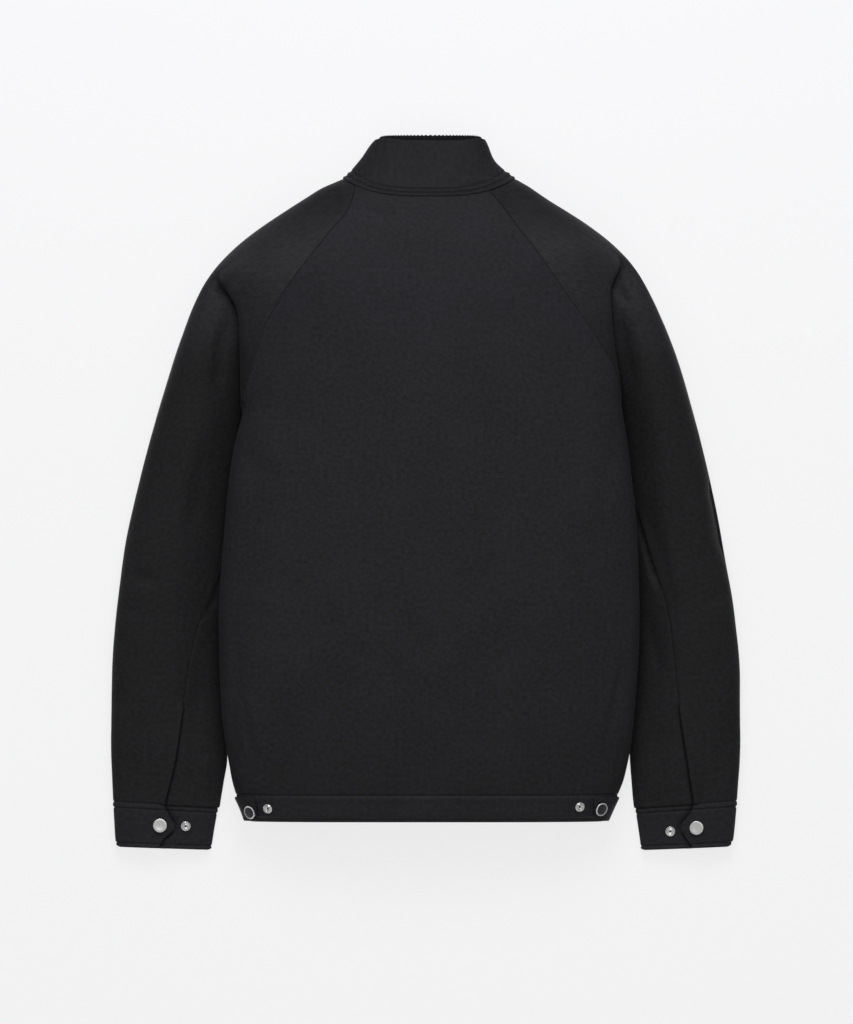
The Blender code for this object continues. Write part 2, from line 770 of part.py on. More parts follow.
# ---- collar -----------------------------------------------------------------------------
COLLAR_ROWS = [0.0, 0.33, 0.66, 1.0]
COLLAR_CELLS = 30
FACING_OVER = 1.2       # the facing shows this much above the collar's edge
COLLAR_OPENING = 7.0    # half the gap at centre front
COLLAR_CORNER = 2.6     # how much lower the collar is at its sides
COLLAR_CORNER_POWER = 14
COLLAR_ROUND = 0.92     # how evenly the points lie round the collar


def collar_half(y):
    """Half width of the collar at y."""
    return np.where(y < NECK_SIDE, COLLAR_HALF, (outline(1, y) - outline(-1, y)) / 2)


def collar_middle(y):
    return np.where(y < NECK_SIDE, COLLAR_MIDDLE, (outline(1, y) + outline(-1, y)) / 2)


def collar_row(share):
    """Row of the collar from centre front round the back to centre front."""
    opening = COLLAR_OPENING / COLLAR_HALF
    turn = np.linspace(-math.pi / 2 + opening, 1.5 * math.pi - opening, COLLAR_CELLS * 6 + 1)
    across = -np.sign(np.cos(turn)) * np.abs(np.cos(turn)) ** COLLAR_ROUND
    on_back = np.sin(turn) >= 0
    x_seam = COLLAR_MIDDLE + COLLAR_HALF * across
    seam = np.where(on_back, neck_back(x_seam), neck_front(x_seam)) + SEAM / 2
    top_back = COLLAR_TOP - COLLAR_CORNER * np.abs(across) ** COLLAR_CORNER_POWER
    side_top = COLLAR_TOP - COLLAR_CORNER
    top_front = side_top - COLLAR_FRONT_DIP * (1 - np.abs(across) ** NECK_FRONT_POWER)
    top = np.where(on_back, top_back, top_front)
    y = seam + (top - seam) * share
    level = np.minimum(y, COLLAR_TOP)
    side_level = NECK_SIDE + (side_top - NECK_SIDE) * share
    x = collar_middle(side_level) + collar_half(side_level) * across
    inset = collar_half(side_level) * (1 - np.abs(across))
    corner = np.clip((SLEEVE_CORNER - inset) / SLEEVE_CORNER, 0, 1)
    edge = read(CROWN, "edge", side_level)
    low = edge * (1 - np.sqrt(1 - corner ** 2)) + channel(x)
    rise = (1 - np.abs(across) ** CROWN_POWER) ** (1 / CROWN_ROOT)
    high = edge + (read(CROWN, "height", level) - edge) * rise
    body_level = np.where(level < NECK_SIDE, crown(x, level), high)
    z = np.where(on_back, body_level, low)
    return Path(np.stack([x, y, z], axis=1), 1)


def collar_ring(share):
    path = collar_row(share)
    count = len(path.points)
    picks = np.linspace(0, count - 1, COLLAR_CELLS + 1).round().astype(int)
    positions = path.length[picks]
    return row_of(path, positions)


def make_collar(fabric):
    return cloth("collar", [collar_ring(share) for share in COLLAR_ROWS], BAND_WALL, fabric)


def make_collar_facing(rib):
    rows = [collar_ring(share) for share in COLLAR_ROWS[1:]]
    points, normals = rows[-1]
    above = points.copy()
    above[:, 1] += FACING_OVER
    rows.append((above, normals))
    return cloth("collar_facing", rows, FACING_WALL, rib, lift=-(BAND_WALL + 3 * LAYER))


# ---- hem --------------------------------------------------------------------------------
HEM_LEVELS = [HEM_BOTTOM, -339.0, HEM_SEAM - SEAM / 2]


def make_hem_back(fabric):
    return cloth("hem_back", [back_row(y) for y in HEM_LEVELS], BAND_WALL, fabric)


def make_hem_front(side, fabric):
    return cloth("hem_front_" + SIDE[side], [front_row(side, y) for y in HEM_LEVELS], BAND_WALL, fabric)


# x of the side tab's edge on the back, along its height
HEM_TAB = {
    -1: table("y x", [(-351.2, -180.0), (-340.0, -181.6), (-327.0, -184.0)]),
    1: table("y x", [(-351.2, 181.5), (-340.0, 181.0), (-327.0, 180.6)]),
}
HEM_TAB_LEVELS = [-351.2, -339.0, -327.0]
HEM_TAB_END = 4.0       # the tab ends this far before the side seam


def hem_tab_row(side, y):
    half = body_half(side, y)
    edge_x = float(read(HEM_TAB[side], "x", y))
    start = half.crossing(lambda p: side * (p[:, 0] - edge_x), 0, 89)
    end = half.side_seam - HEM_TAB_END
    return row_of(half, spaced(start, end, 12, 0.2))


def make_hem_tab(side, fabric):
    rows = [hem_tab_row(side, y) for y in HEM_TAB_LEVELS]
    return cloth("hem_tab_" + SIDE[side], rows, TAB_WALL, fabric, lift=TAB_WALL + 2 * LAYER)


# ---- snaps ------------------------------------------------------------------------------
CAP_PROFILE = [(0.0, 0.0), (1.0, 0.0), (1.0, 0.45), (0.9, 0.8), (0.55, 0.95), (0.0, 1.0)]
STUD_PROFILE = [(0.28, 0.0), (1.0, 0.0), (1.0, 0.4), (0.85, 0.9), (0.6, 1.0), (0.5, 0.55), (0.28, 0.45)]
TURN_STEPS = 20


def turned(name, profile, radius, height, frame, metal):
    """A round piece from a profile of shares of its radius and height."""
    vertices = []
    faces = []
    rings = []
    for r, z in profile:
        if r == 0:
            rings.append([len(vertices)])
            vertices.append(Vector((0, 0, z * height)))
            continue
        rings.append(list(range(len(vertices), len(vertices) + TURN_STEPS)))
        for k in range(TURN_STEPS):
            angle = 2 * math.pi * k / TURN_STEPS
            vertices.append(Vector((r * radius * math.cos(angle), r * radius * math.sin(angle), z * height)))
    closed = profile[0][0] != 0
    pairs = list(zip(rings, rings[1:]))
    if closed:
        pairs.append((rings[-1], rings[0]))
    for low, high in pairs:
        for k in range(TURN_STEPS):
            following = (k + 1) % TURN_STEPS
            if len(low) == 1:
                faces.append((low[0], high[k], high[following]))
            elif len(high) == 1:
                faces.append((low[k], low[following], high[0]))
            else:
                faces.append((low[k], low[following], high[following], high[k]))
    placed = [np.array(frame @ v) for v in vertices]
    return make_object(name, placed, faces, metal)


def sleeve_top(side, x, y):
    """Height of the hanging sleeve's outer surface at (x, y)."""
    nose_x = outline(side, y)
    t = (nose_x - x) / (nose_x - read(TOE, SIDE[side], y))
    return hump(t, y)


def seat(surface, x, y, lift):
    """Frame over (x, y): origin lifted off the surface, Z along its outward normal."""
    step = 2.0
    slope_x = (surface(x + step, y) - surface(x - step, y)) / (2 * step)
    slope_y = (surface(x, y + step) - surface(x, y - step)) / (2 * step)
    normal = Vector((-slope_x, -slope_y, 1)).normalized()
    origin = Vector((x, y, float(surface(x, y)))) + normal * lift
    rotation = normal.to_track_quat("Z", "Y").to_matrix().to_4x4()
    return Matrix.Translation(origin) @ rotation


# snap centres: cap and stud of each cuff and of each side of the hem
CUFF_SNAPS = {-1: ((-286.9, -358.4), (-258.9, -359.4)), 1: ((292.5, -361.0), (264.3, -365.0))}
HEM_SNAPS = {-1: ((-186.6, -342.3), (-169.6, -339.3)), 1: ((186.9, -338.8), (165.8, -337.3))}


def make_cuff_snaps(side, metal):
    (cap_x, cap_y), (stud_x, stud_y) = CUFF_SNAPS[side]
    top = functools.partial(sleeve_top, side)
    place = seat(top, cap_x, cap_y, CAP_LIFT)
    turned("cap_cuff_" + SIDE[side], CAP_PROFILE, CAP_RADIUS, CAP_HEIGHT, place, metal)
    place = seat(top, stud_x, stud_y, CUFF_STUD_LIFT)
    turned("stud_cuff_" + SIDE[side], STUD_PROFILE, STUD_RADIUS, STUD_HEIGHT, place, metal)


def make_hem_snaps(side, metal):
    (cap_x, cap_y), (stud_x, stud_y) = HEM_SNAPS[side]
    place = seat(crown, cap_x, cap_y, TAB_WALL + 2 * LAYER + CAP_LIFT)
    turned("cap_hem_" + SIDE[side], CAP_PROFILE, CAP_RADIUS, CAP_HEIGHT, place, metal)
    place = seat(crown, stud_x, stud_y, STUD_LIFT)
    turned("stud_hem_" + SIDE[side], STUD_PROFILE, STUD_RADIUS, STUD_HEIGHT, place, metal)


# ---- zip --------------------------------------------------------------------------------
CHAIN_LOW = 6.0
ZIP_BOTTOM = HEM_BOTTOM + 1
TAPE_UNDER = 0.6        # how far each tape reaches over the chain
SLIDER_LENGTH = 12.0
SLIDER_WIDTH = 9.0
SLIDER_PLATE = 1.2
PLATE_GAP = 0.4
SLIDER_POST = 2.4
POST_HALF = 1.2
POST_INSET = 0.4        # the post ends this far inside the plate's upper end
POST_GAP = 0.3          # and this far under the chain's upper face
WELD = 0.2              # how deep the slider's parts run into its plate
BRIDGE_LENGTH = 7.0
BRIDGE_WALL = 1.0
BRIDGE_WIDTH = 1.8
HINGE_SHARE = 0.45      # place of the pull's pin, from the slider's upper end
PIN_HALF = 0.5
PIN_PLAY = 0.35
PULL_WIDTH = 6.4
PULL_ARM = 1.5
PULL_LENGTH = 27.0
PULL_WINDOW = 7.0       # length of the window that the bridge passes through
PULL_OVERLAP = 0.5
PULL_THICK = 1.0


def box(name, low, high, finish):
    """Axis-aligned block between two corners."""
    corners = [(x, y, z) for x in (low[0], high[0]) for y in (low[1], high[1]) for z in (low[2], high[2])]
    faces = [(0, 1, 3, 2), (4, 6, 7, 5), (0, 4, 5, 1), (2, 3, 7, 6), (0, 2, 6, 4), (1, 5, 7, 3)]
    return make_object(name, np.array(corners), faces, finish, smooth=False)


def fused(name, blocks, finish):
    """Union of blocks as one solid."""
    first = box(name, *blocks[0], finish)
    for number, block in enumerate(blocks[1:]):
        other = box(name + "_part_%d" % number, *block, finish)
        other.hide_render = True
        other.display_type = "WIRE"
        union = first.modifiers.new("join_%d" % number, "BOOLEAN")
        union.operation = "UNION"
        union.solver = "EXACT"
        union.object = other
    return first


def chain_end():
    """Y of the chain's upper end, just below the slider's post."""
    return ZIP_TOP - SLIDER_POST - SEAM


def make_zip(tape_cloth, metal):
    chain_high = CHAIN_LOW + CHAIN_THICK
    half = CHAIN_WIDTH / 2
    box("zip_chain", (ZIP_X - half, ZIP_BOTTOM, CHAIN_LOW), (ZIP_X + half, chain_end(), chain_high), metal)
    tape_low = CHANNEL_DEPTH + BAND_WALL + LAYER
    for side in (-1, 1):
        near = ZIP_X + side * (half - TAPE_UNDER)
        far = ZIP_X + side * (half + TAPE_WIDTH)
        low = (min(near, far), ZIP_BOTTOM, tape_low)
        high = (max(near, far), ZIP_TOP, tape_low + TAPE_THICK)
        box("zip_tape_" + SIDE[side], low, high, tape_cloth)


def hinge_point():
    """Centre of the pull tab's pin under the slider's bridge."""
    plate_low = CHAIN_LOW - PLATE_GAP - SLIDER_PLATE
    return ZIP_X, ZIP_TOP - SLIDER_LENGTH * HINGE_SHARE, plate_low - PIN_PLAY - PIN_HALF


def make_slider(metal):
    plate_high = CHAIN_LOW - PLATE_GAP
    plate_low = plate_high - SLIDER_PLATE
    half = SLIDER_WIDTH / 2
    post_high = CHAIN_LOW + CHAIN_THICK - POST_GAP
    x, y, z = hinge_point()
    bridge_low = z - PIN_HALF - PIN_PLAY
    front = y - BRIDGE_LENGTH / 2
    rear = y + BRIDGE_LENGTH / 2
    w = BRIDGE_WIDTH / 2
    outer_low = bridge_low - BRIDGE_WALL
    leg_high = plate_low + WELD
    leg_end = front + BRIDGE_WALL
    rear_leg = rear - BRIDGE_WALL
    post_low = plate_high - WELD
    blocks = [
        ((x - half, ZIP_TOP - SLIDER_LENGTH, plate_low), (x + half, ZIP_TOP, plate_high)),
        ((x - POST_HALF, ZIP_TOP - SLIDER_POST, post_low), (x + POST_HALF, ZIP_TOP - POST_INSET, post_high)),
        ((x - w, front, outer_low), (x + w, leg_end, leg_high)),
        ((x - w, rear_leg, outer_low), (x + w, rear, leg_high)),
        ((x - w, front + WELD / 2, outer_low), (x + w, rear - WELD / 2, bridge_low)),
    ]
    return fused("zip_slider", blocks, metal)


def make_pull(metal):
    x, y, z = hinge_point()
    half = PULL_WIDTH / 2
    thick = PULL_THICK / 2
    arm_end = y - PULL_WINDOW
    blocks = [
        ((x - half, y - PIN_HALF, z - PIN_HALF), (x + half, y + PIN_HALF, z + PIN_HALF)),
        ((x - half, arm_end, z - thick), (x - half + PULL_ARM, y, z + thick)),
        ((x + half - PULL_ARM, arm_end, z - thick), (x + half, y, z + thick)),
        ((x - half, y - PULL_LENGTH, z - thick), (x + half, arm_end + PULL_OVERLAP, z + thick)),
    ]
    return fused("zip_pull", blocks, metal)


def main():
    for thing in list(bpy.data.objects):
        bpy.data.objects.remove(thing)
    fabric = material("black_softshell", (0.022, 0.021, 0.024), 0.8)
    rib = material("black_rib", (0.02, 0.02, 0.022), 0.9)
    tape = material("zip_tape", (0.015, 0.015, 0.017), 0.85)
    metal = material("nickel", (0.72, 0.72, 0.73), 0.25, 1.0)
    dark = material("dark_metal", (0.1, 0.1, 0.11), 0.4, 1.0)
    make_back(fabric)
    make_collar(fabric)
    make_collar_facing(rib)
    make_hem_back(fabric)
    for side in (-1, 1):
        make_front(side, fabric)
        make_upper_sleeve(side, fabric)
        make_under_sleeve(side, fabric)
        make_cuff(side, fabric)
        make_hem_front(side, fabric)
        make_hem_tab(side, fabric)
        make_cuff_snaps(side, metal)
        make_hem_snaps(side, metal)
    make_zip(tape, dark)
    make_slider(metal)
    make_pull(metal)


main()
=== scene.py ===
# bomber jacket lying on its front, back upward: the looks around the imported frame
import bpy
import bmesh
import functools
import math
import numpy as np
from mathutils import Matrix, Vector, noise


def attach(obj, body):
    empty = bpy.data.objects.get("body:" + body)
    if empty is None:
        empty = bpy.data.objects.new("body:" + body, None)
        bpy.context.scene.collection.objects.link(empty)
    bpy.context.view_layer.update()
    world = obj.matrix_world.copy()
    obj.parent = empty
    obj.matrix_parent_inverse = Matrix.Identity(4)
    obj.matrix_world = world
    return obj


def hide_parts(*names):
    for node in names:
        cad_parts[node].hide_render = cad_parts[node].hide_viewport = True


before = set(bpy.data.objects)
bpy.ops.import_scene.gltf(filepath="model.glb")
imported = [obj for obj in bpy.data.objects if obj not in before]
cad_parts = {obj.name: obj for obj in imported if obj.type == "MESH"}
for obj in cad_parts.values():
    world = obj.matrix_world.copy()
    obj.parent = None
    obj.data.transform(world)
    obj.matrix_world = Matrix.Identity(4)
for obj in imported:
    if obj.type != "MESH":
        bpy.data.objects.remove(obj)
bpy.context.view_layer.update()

print("frame loaded:", len(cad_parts), "nodes")

mm = 0.001

# cloth sizes in mm, the same as in the frame
wall = 1.8              # body cloth with its bonded backing
bandWall = 2.2          # doubled cloth of hem band, cuffs and collar
tabWall = 2.0           # snap tabs
facingWall = 1.5        # ribbed collar facing
seamGap = 0.3           # gap between neighbouring pieces
layerGap = 0.35         # gap between cloth lying on cloth

# levels along Y and rounding, in mm
frameCentre = (0.1, 1.55, 0.0)   # middle of the finished piece, which becomes the origin
toFrame = Matrix.Scale(mm, 4) @ Matrix.Translation(-Vector(frameCentre))
hemBottom = -354.0
hemSeam = -325.0
underarm = 82.0
neckSide = 340.7       # where the neck seam crosses the outline
collarTop = 385.6
collarCentre = 3.7
collarReach = 93.3     # half width of the neck seam
collarFrontDip = 57.0
cuffSeam = -336.0
cuffBottom = -383.6

bodyTuck = 30.0        # width of the body's lower corner, turning in under the back
sleeveTuck = 8.0       # how far the sleeve lies under the body's edge
sleeveCorner = 14.0    # width of the sleeve's outer lower corner
toeCorner = 5.0
# points on the stretches of a row's path
dense = {"bodyTop": 90, "shoulderTop": 110, "groove": 13, "sleeveTop": 150, "overSleeve": 80, "flat": 80,
         "bodyCorner": 30, "sleeveCorner": 16, "toeCorner": 10}
sideSeamShare = 0.62   # place of the side seam on the way round the body's lower corner
crownPower = 3.7       # fullness of the back's cross section
crownRoot = 2.0
sleevePeak = 0.42      # place of the sleeve's highest line, from its outer edge

zipX = 3.0
channelHalf = 19.0     # the fronts rise to the zip inside this half width
channelSlope = 6.0
channelDepth = 6.6
chainWidth = 6.0
tapeWidth = 11.0
tapeThick = 0.9
zipTop = 262.0

capRadius = 7.4
capHeight = 2.4
studRadius = 5.2
studHeight = 2.0
capLift = 0.6          # snap's base over the cloth, clear of its curve
studLift = 0.35
cuffStudLift = -1.6   # the cuff's under layer lies deeper than its tab


def table(names, rows):
    # named columns from rows that run from low to high Y
    columns = np.array(sorted(rows), dtype=float).T
    return dict(zip(names.split(), columns))


# the whole outline seen from above, sleeves included
outlineRows = table("y left right", [
    (385.6, -47.6, 61.0),
    (381.8, -55.0, 64.8),
    (360.0, -71.3, 74.5),
    (340.7, -89.6, 97.0),
    (327.8, -115.6, 115.6),
    (306.2, -150.0, 151.0),
    (284.6, -182.5, 183.6),
    (263.0, -208.4, 209.5),
    (241.4, -229.0, 227.9),
    (219.8, -243.0, 240.8),
    (165.8, -264.6, 264.6),
    (101.0, -285.1, 285.1),
    (-7.0, -314.3, 312.1),
    (-71.8, -327.2, 324.0),
    (-136.6, -334.8, 334.8),
    (-201.4, -339.1, 340.2),
    (-266.2, -340.2, 340.2),
    (-331.0, -338.0, 337.0),
    (-375.3, -335.6, 333.0),
    (-382.0, -334.0, 330.0),
])

# the edge that the body and shoulder cloth folds over, on to the sleeves
bodyEdgeRows = table("y left right zLeft zRight", [
    (250.0, -221.6, 221.2, 17, 16),
    (243.5, -227.0, 212.8, 17, 19),
    (234.9, -234.0, 206.3, 17, 23),
    (231.5, -235.6, 203.2, 16, 25),
    (227.3, -224.6, 200.9, 19, 27),
    (217.6, -216.0, 198.9, 23, 29),
    (209.0, -208.4, 199.3, 27, 30),
    (198.0, -203.0, 200.9, 29, 30),
    (171.0, -201.0, 203.0, 30, 30),
    (128.0, -200.3, 209.5, 30, 30),
    (90.0, -199.8, 213.3, 30, 30),
    (36.0, -209.5, 220.3, 30, 30),
    (-50.0, -218.2, 229.0, 29, 29),
    (-137.0, -223.6, 231.1, 28, 28),
    (-223.0, -221.4, 226.8, 27, 27),
    (-285.0, -213.8, 219.8, 25, 25),
    (-325.0, -204.6, 207.8, 23, 23),
    (-340.0, -198.2, 201.2, 22, 22),
    (-352.6, -193.6, 195.6, 21, 21),
])
creaseEnd = {-1: 231.5, 1: 250.0}

# height of the middle of the back, and of the outline's widest line above the surface
crownRows = table("y height edge", [
    (385.6, 28, 13),
    (360.0, 35, 15),
    (340.7, 41, 16),
    (320.0, 48, 17),
    (306.0, 53, 18),
    (263.0, 65, 17),
    (200.0, 75, 15),
    (120.0, 80, 14),
    (-100.0, 80, 14),
    (-285.0, 76, 14),
    (-325.0, 72, 14),
    (-352.6, 68, 14),
])

# the sleeve as it hangs: height, widest line of its outer edge, its edge beside the body,
# and whether that edge is round or pressed thin under the body
sleeveRows = table("y height nose toe round", [
    (250.0, 20, 15, 15, 0),
    (225.0, 24, 15, 19, 0),
    (200.0, 31, 14, 21, 0),
    (150.0, 37, 14, 18, 0),
    (82.0, 38, 14, 7, 0),
    (60.0, 38, 14, 5, 0),
    (-50.0, 35, 13, 5, 0),
    (-150.0, 32, 12, 5, 0),
    (-240.0, 28, 10, 5, 0.3),
    (-300.0, 24, 9, 6, 1),
    (-333.0, 21, 9, 7, 1),
    (-382.0, 19, 8, 8, 1),
])

# inner edge of the sleeve below the underarm
toeRows = table("y left right", [
    (82.0, -192.2, 206.0),
    (0.0, -205.5, 216.5),
    (-100.0, -214.4, 222.9),
    (-180.0, -215.8, 221.6),
    (-240.0, -214.0, 219.6),
    (-285.0, -214.3, 220.9),
    (-309.0, -218.0, 222.8),
    (-331.0, -221.8, 224.8),
    (-382.0, -230.2, 231.5),
])

# seam between back and sleeve, and its like on the front
raglanBackRows = table("y left right", [
    (340.0, -73.0, 61.0),
    (333.0, -75.6, 65.0),
    (310.0, -81.5, 83.0),
    (280.0, -105.0, 105.0),
    (256.0, -124.4, 124.0),
    (228.0, -145.4, 143.0),
    (197.0, -164.6, 164.5),
    (170.0, -178.0, 183.5),
    (146.0, -184.0, 198.7),
    (123.0, -191.5, 208.6),
    (95.0, -199.0, 213.0),
])
raglanFrontRows = table("y left right", [
    (312.0, -72.0, 79.0),
    (280.0, -97.0, 104.0),
    (240.0, -125.0, 132.0),
    (200.0, -149.0, 156.0),
    (160.0, -170.0, 179.0),
    (120.0, -182.0, 192.0),
    (82.0, -189.5, 203.0),
])

# seams of the hanging sleeve: elbow side on top, forearm side beneath
hindarmRows = table("y left right", [
    (82.0, -194.6, 208.6),
    (20.0, -210.0, 219.0),
    (-12.0, -214.5, 228.0),
    (-72.0, -222.0, 246.0),
    (-99.0, -229.0, 254.0),
    (-150.0, -247.0, 265.0),
    (-196.0, -257.0, 270.0),
    (-236.0, -263.0, 275.4),
    (-288.0, -271.0, 283.5),
    (-333.0, -282.0, 290.5),
])
forearmRows = table("y left right", [
    (82.0, -200.0, 213.5),
    (-50.0, -232.0, 240.0),
    (-333.0, -262.0, 266.0),
])

# level of the raglan seam where it starts to turn in under the body's edge
turnIn = {-1: 104.0, 1: 122.0}
# slope of cuff seam and cuff bottom across the sleeve
cuffSlope = {-1: -0.062, 1: 0.075}
# it sets in over 80 mm above the cuff, and the cuff's bottom has a little over half of it
sloping = {"middle": 281.0, "high": -250.0, "fade": 80.0, "levelled": 0.45, "levelFade": 45.0}

sideName = {-1: "left", 1: "right"}


def read(tab, column, y):
    # smooth value of a column at y, without overshoot between the rows
    xs = tab["y"]
    ys = tab[column]
    y = np.clip(np.asarray(y, dtype=float), xs[0], xs[-1])
    steps = np.diff(xs)
    rates = np.diff(ys) / steps
    slopes = np.empty_like(ys)
    slopes[0] = rates[0]
    slopes[-1] = rates[-1]
    product = rates[:-1] * rates[1:]
    total = rates[:-1] + rates[1:]
    slopes[1:-1] = np.where(product > 0, 2 * product / np.where(total == 0, 1, total), 0)
    i = np.clip(np.searchsorted(xs, y) - 1, 0, len(xs) - 2)
    h = steps[i]
    t = (y - xs[i]) / h
    value = ys[i] * (1 + 2 * t) * (1 - t) ** 2 + h * slopes[i] * t * (1 - t) ** 2
    value += ys[i + 1] * t ** 2 * (3 - 2 * t) + h * slopes[i + 1] * t ** 2 * (t - 1)
    return value


def ease(t):
    t = np.clip(t, 0, 1)
    return t * t * (3 - 2 * t)


def outline(side, y):
    return read(outlineRows, sideName[side], y)


def bodyEdge(side, y):
    # X of the edge of the body's own cloth: the crease, and above it the outline
    y = np.asarray(y, dtype=float)
    folded = read(bodyEdgeRows, sideName[side], y)
    return np.where(y < creaseEnd[side], folded, outline(side, y))


def bodyEdgeZ(side, y):
    y = np.asarray(y, dtype=float)
    folded = read(bodyEdgeRows, "z" + sideName[side].capitalize(), y)
    return np.where(y < creaseEnd[side], folded, read(crownRows, "edge", y))


def crown(x, y):
    # height of the back's outer surface at (x, y)
    left = bodyEdge(-1, y)
    right = bodyEdge(1, y)
    middle = (left + right) / 2
    half = (right - left) / 2
    u = np.clip((x - middle) / half, -1, 1)
    edge = np.where(u < 0, bodyEdgeZ(-1, y), bodyEdgeZ(1, y))
    rise = (1 - np.abs(u) ** crownPower) ** (1 / crownRoot)
    return edge + (read(crownRows, "height", y) - edge) * rise


def hump(t, y, end=None):
    # sleeve height at level y, along t = 0..1 from its outer edge to its inner edge
    start = read(sleeveRows, "nose", y)
    peak = read(sleeveRows, "height", y)
    roundShare = read(sleeveRows, "round", y)
    if end is None:
        end = read(sleeveRows, "toe", y)
    t = np.clip(t, 0, 1)
    outer = np.clip(1 - t / sleevePeak, 0, 1)
    inner = np.clip((t - sleevePeak) / (1 - sleevePeak), 0, 1)
    rising = start + (peak - start) * (1 - outer ** 2.3) ** (1 / 2.3)
    pressed = np.sin(math.pi / 2 * (1 - inner)) ** 1.25
    rounded = (1 - inner ** 1.6) ** (1 / 1.6)
    falling = end + (peak - end) * (pressed + (rounded - pressed) * roundShare)
    return np.where(t < sleevePeak, rising, falling)


def channel(x):
    # rise of the fronts to the zip, so that its pull tab clears the surface
    return channelDepth * ease((channelHalf - np.abs(x - zipX)) / channelSlope)


def neckLine(x, drop, power):
    # Y of the neck seam at x, lowest in the middle
    u = np.clip((x - collarCentre) / collarReach, -1, 1)
    return neckSide - drop * (1 - np.abs(u) ** power)


def warp(y, low):
    # how far a row that meets the outline at y follows the neck seam, from 0 at the level low
    return np.clip((y - low) / (neckSide - low), 0, 1) ** 1.5


neckBack = functools.partial(neckLine, drop=20.0, power=3.2)
neckFront = functools.partial(neckLine, drop=72.0, power=2.2)
backWarp = functools.partial(warp, low=262.0)
frontWarp = functools.partial(warp, low=150.0)


class Path:
    # a dense line of points with its arc lengths in the xz plane

    def __init__(self, points, side=1):
        self.points = np.array(points, dtype=float)
        steps = np.diff(self.points[:, [0, 2]], axis=0)
        self.length = np.concatenate([[0], np.cumsum(np.hypot(steps[:, 0], steps[:, 1]))])
        self.side = side

    def at(self, s):
        return np.array([np.interp(s, self.length, self.points[:, k]) for k in range(3)]).T

    def outward(self, s):
        # outward normals in the xz plane
        span = 0.4
        step = self.at(np.asarray(s) + span) - self.at(np.asarray(s) - span)
        normal = self.side * np.stack([-step[:, 2], step[:, 0]], axis=1)
        return normal / np.linalg.norm(normal, axis=1)[:, None]

    def crossing(self, signed, first, last):
        # arc length where signed(points) turns from negative to positive, between two indices
        values = signed(self.points[first:last])
        return float(np.interp(0, values, self.length[first:last]))


def quarter(count):
    return np.linspace(0, math.pi / 2, count)


# levels at which the pieces along the raglan seams share corners
backRows = [underarm, 95, 108, 122, 145, 180, 212, 236, 262, 283, 303, 322, neckSide]
frontRows = [underarm, 108, 145, 180, 236, 283, neckSide]


def seamCorners(side, tab, levels, warp, neck):
    # corners of a raglan seam where rows meet it, from low to high Y
    corners = []
    for level in levels:
        x = read(tab, sideName[side], level)
        for _ in range(20):
            y = level + warp(level) * (neck(x) - neckSide)
            x = read(tab, sideName[side], y)
        corners.append((float(y), float(x)))
    return np.array(corners).T


raglanSeams = {}
for side in (-1, 1):
    raglanSeams["back", side] = seamCorners(side, raglanBackRows, backRows, backWarp, neckBack)
    raglanSeams["front", side] = seamCorners(side, raglanFrontRows, frontRows, frontWarp, neckFront)


def seamX(face, side, y):
    ys, xs = raglanSeams[face, side]
    return np.interp(y, ys, xs)


def lineAt(x, y, z):
    # points along X at the level y
    return np.stack([x, np.broadcast_to(y, x.shape), z], axis=1)


def roundedCorner(side, edgeX, edgeZ, wide, count):
    # x and z of a lower corner that turns in from an outer edge down to the surface
    corner = quarter(count)[1:]
    return edgeX - side * wide * (1 - np.cos(corner)), edgeZ * (1 - np.sin(corner))


def backArc(side, y, count):
    # outer surface from centre back to the edge of the body's cloth
    x = zipX + side * abs(float(bodyEdge(side, y)) - zipX) * np.sin(quarter(count)) ** 0.9
    ys = y + backWarp(y) * (neckBack(x) - neckSide)
    top = lineAt(x, ys, crown(x, ys))
    top[-1, 2] = bodyEdgeZ(side, y)
    return top


def frontArc(side, y, corner, count):
    # round a lower corner and along the underside to centre front
    flat = np.linspace(corner[0][-1], zipX, count)[1:]
    x = np.concatenate([corner[0], flat])
    ys = y + frontWarp(y) * (neckFront(x) - neckSide)
    return lineAt(x, ys, np.concatenate([corner[1], channel(flat)]))


def bodyHalf(side, y):
    # half ring of the body below the underarm: centre back, side, centre front
    top = backArc(side, y, dense["bodyTop"])
    corner = roundedCorner(side, float(bodyEdge(side, y)), float(bodyEdgeZ(side, y)), bodyTuck,
                           dense["bodyCorner"])
    path = Path(np.concatenate([top, frontArc(side, y, corner, dense["bodyTop"])]), side)
    path.edge = path.length[len(top) - 1]
    path.sideSeam = path.edge + sideSeamShare * (path.length[len(top) + len(corner[0]) - 1] - path.edge)
    return path


def overSleeve(side, y, noseX, edgeZ):
    # from the body's edge down into the groove beside it, and over the sleeve to its outer edge
    edgeX = float(bodyEdge(side, y))
    under = side * sleeveTuck * float(ease((creaseEnd[side] - y) / 32))
    grooveZ = min(float(read(sleeveRows, "toe", y)), edgeZ - 1.0)
    share = np.linspace(0, 1, dense["groove"] + 1)[1:]
    groove = lineAt(edgeX - under * share ** 1.6, y, edgeZ - (edgeZ - grooveZ) * share)
    t = np.cos(quarter(dense["overSleeve"]))[1:]
    return [groove, lineAt(noseX + (edgeX - under - noseX) * t, y, hump(t, y, grooveZ))]


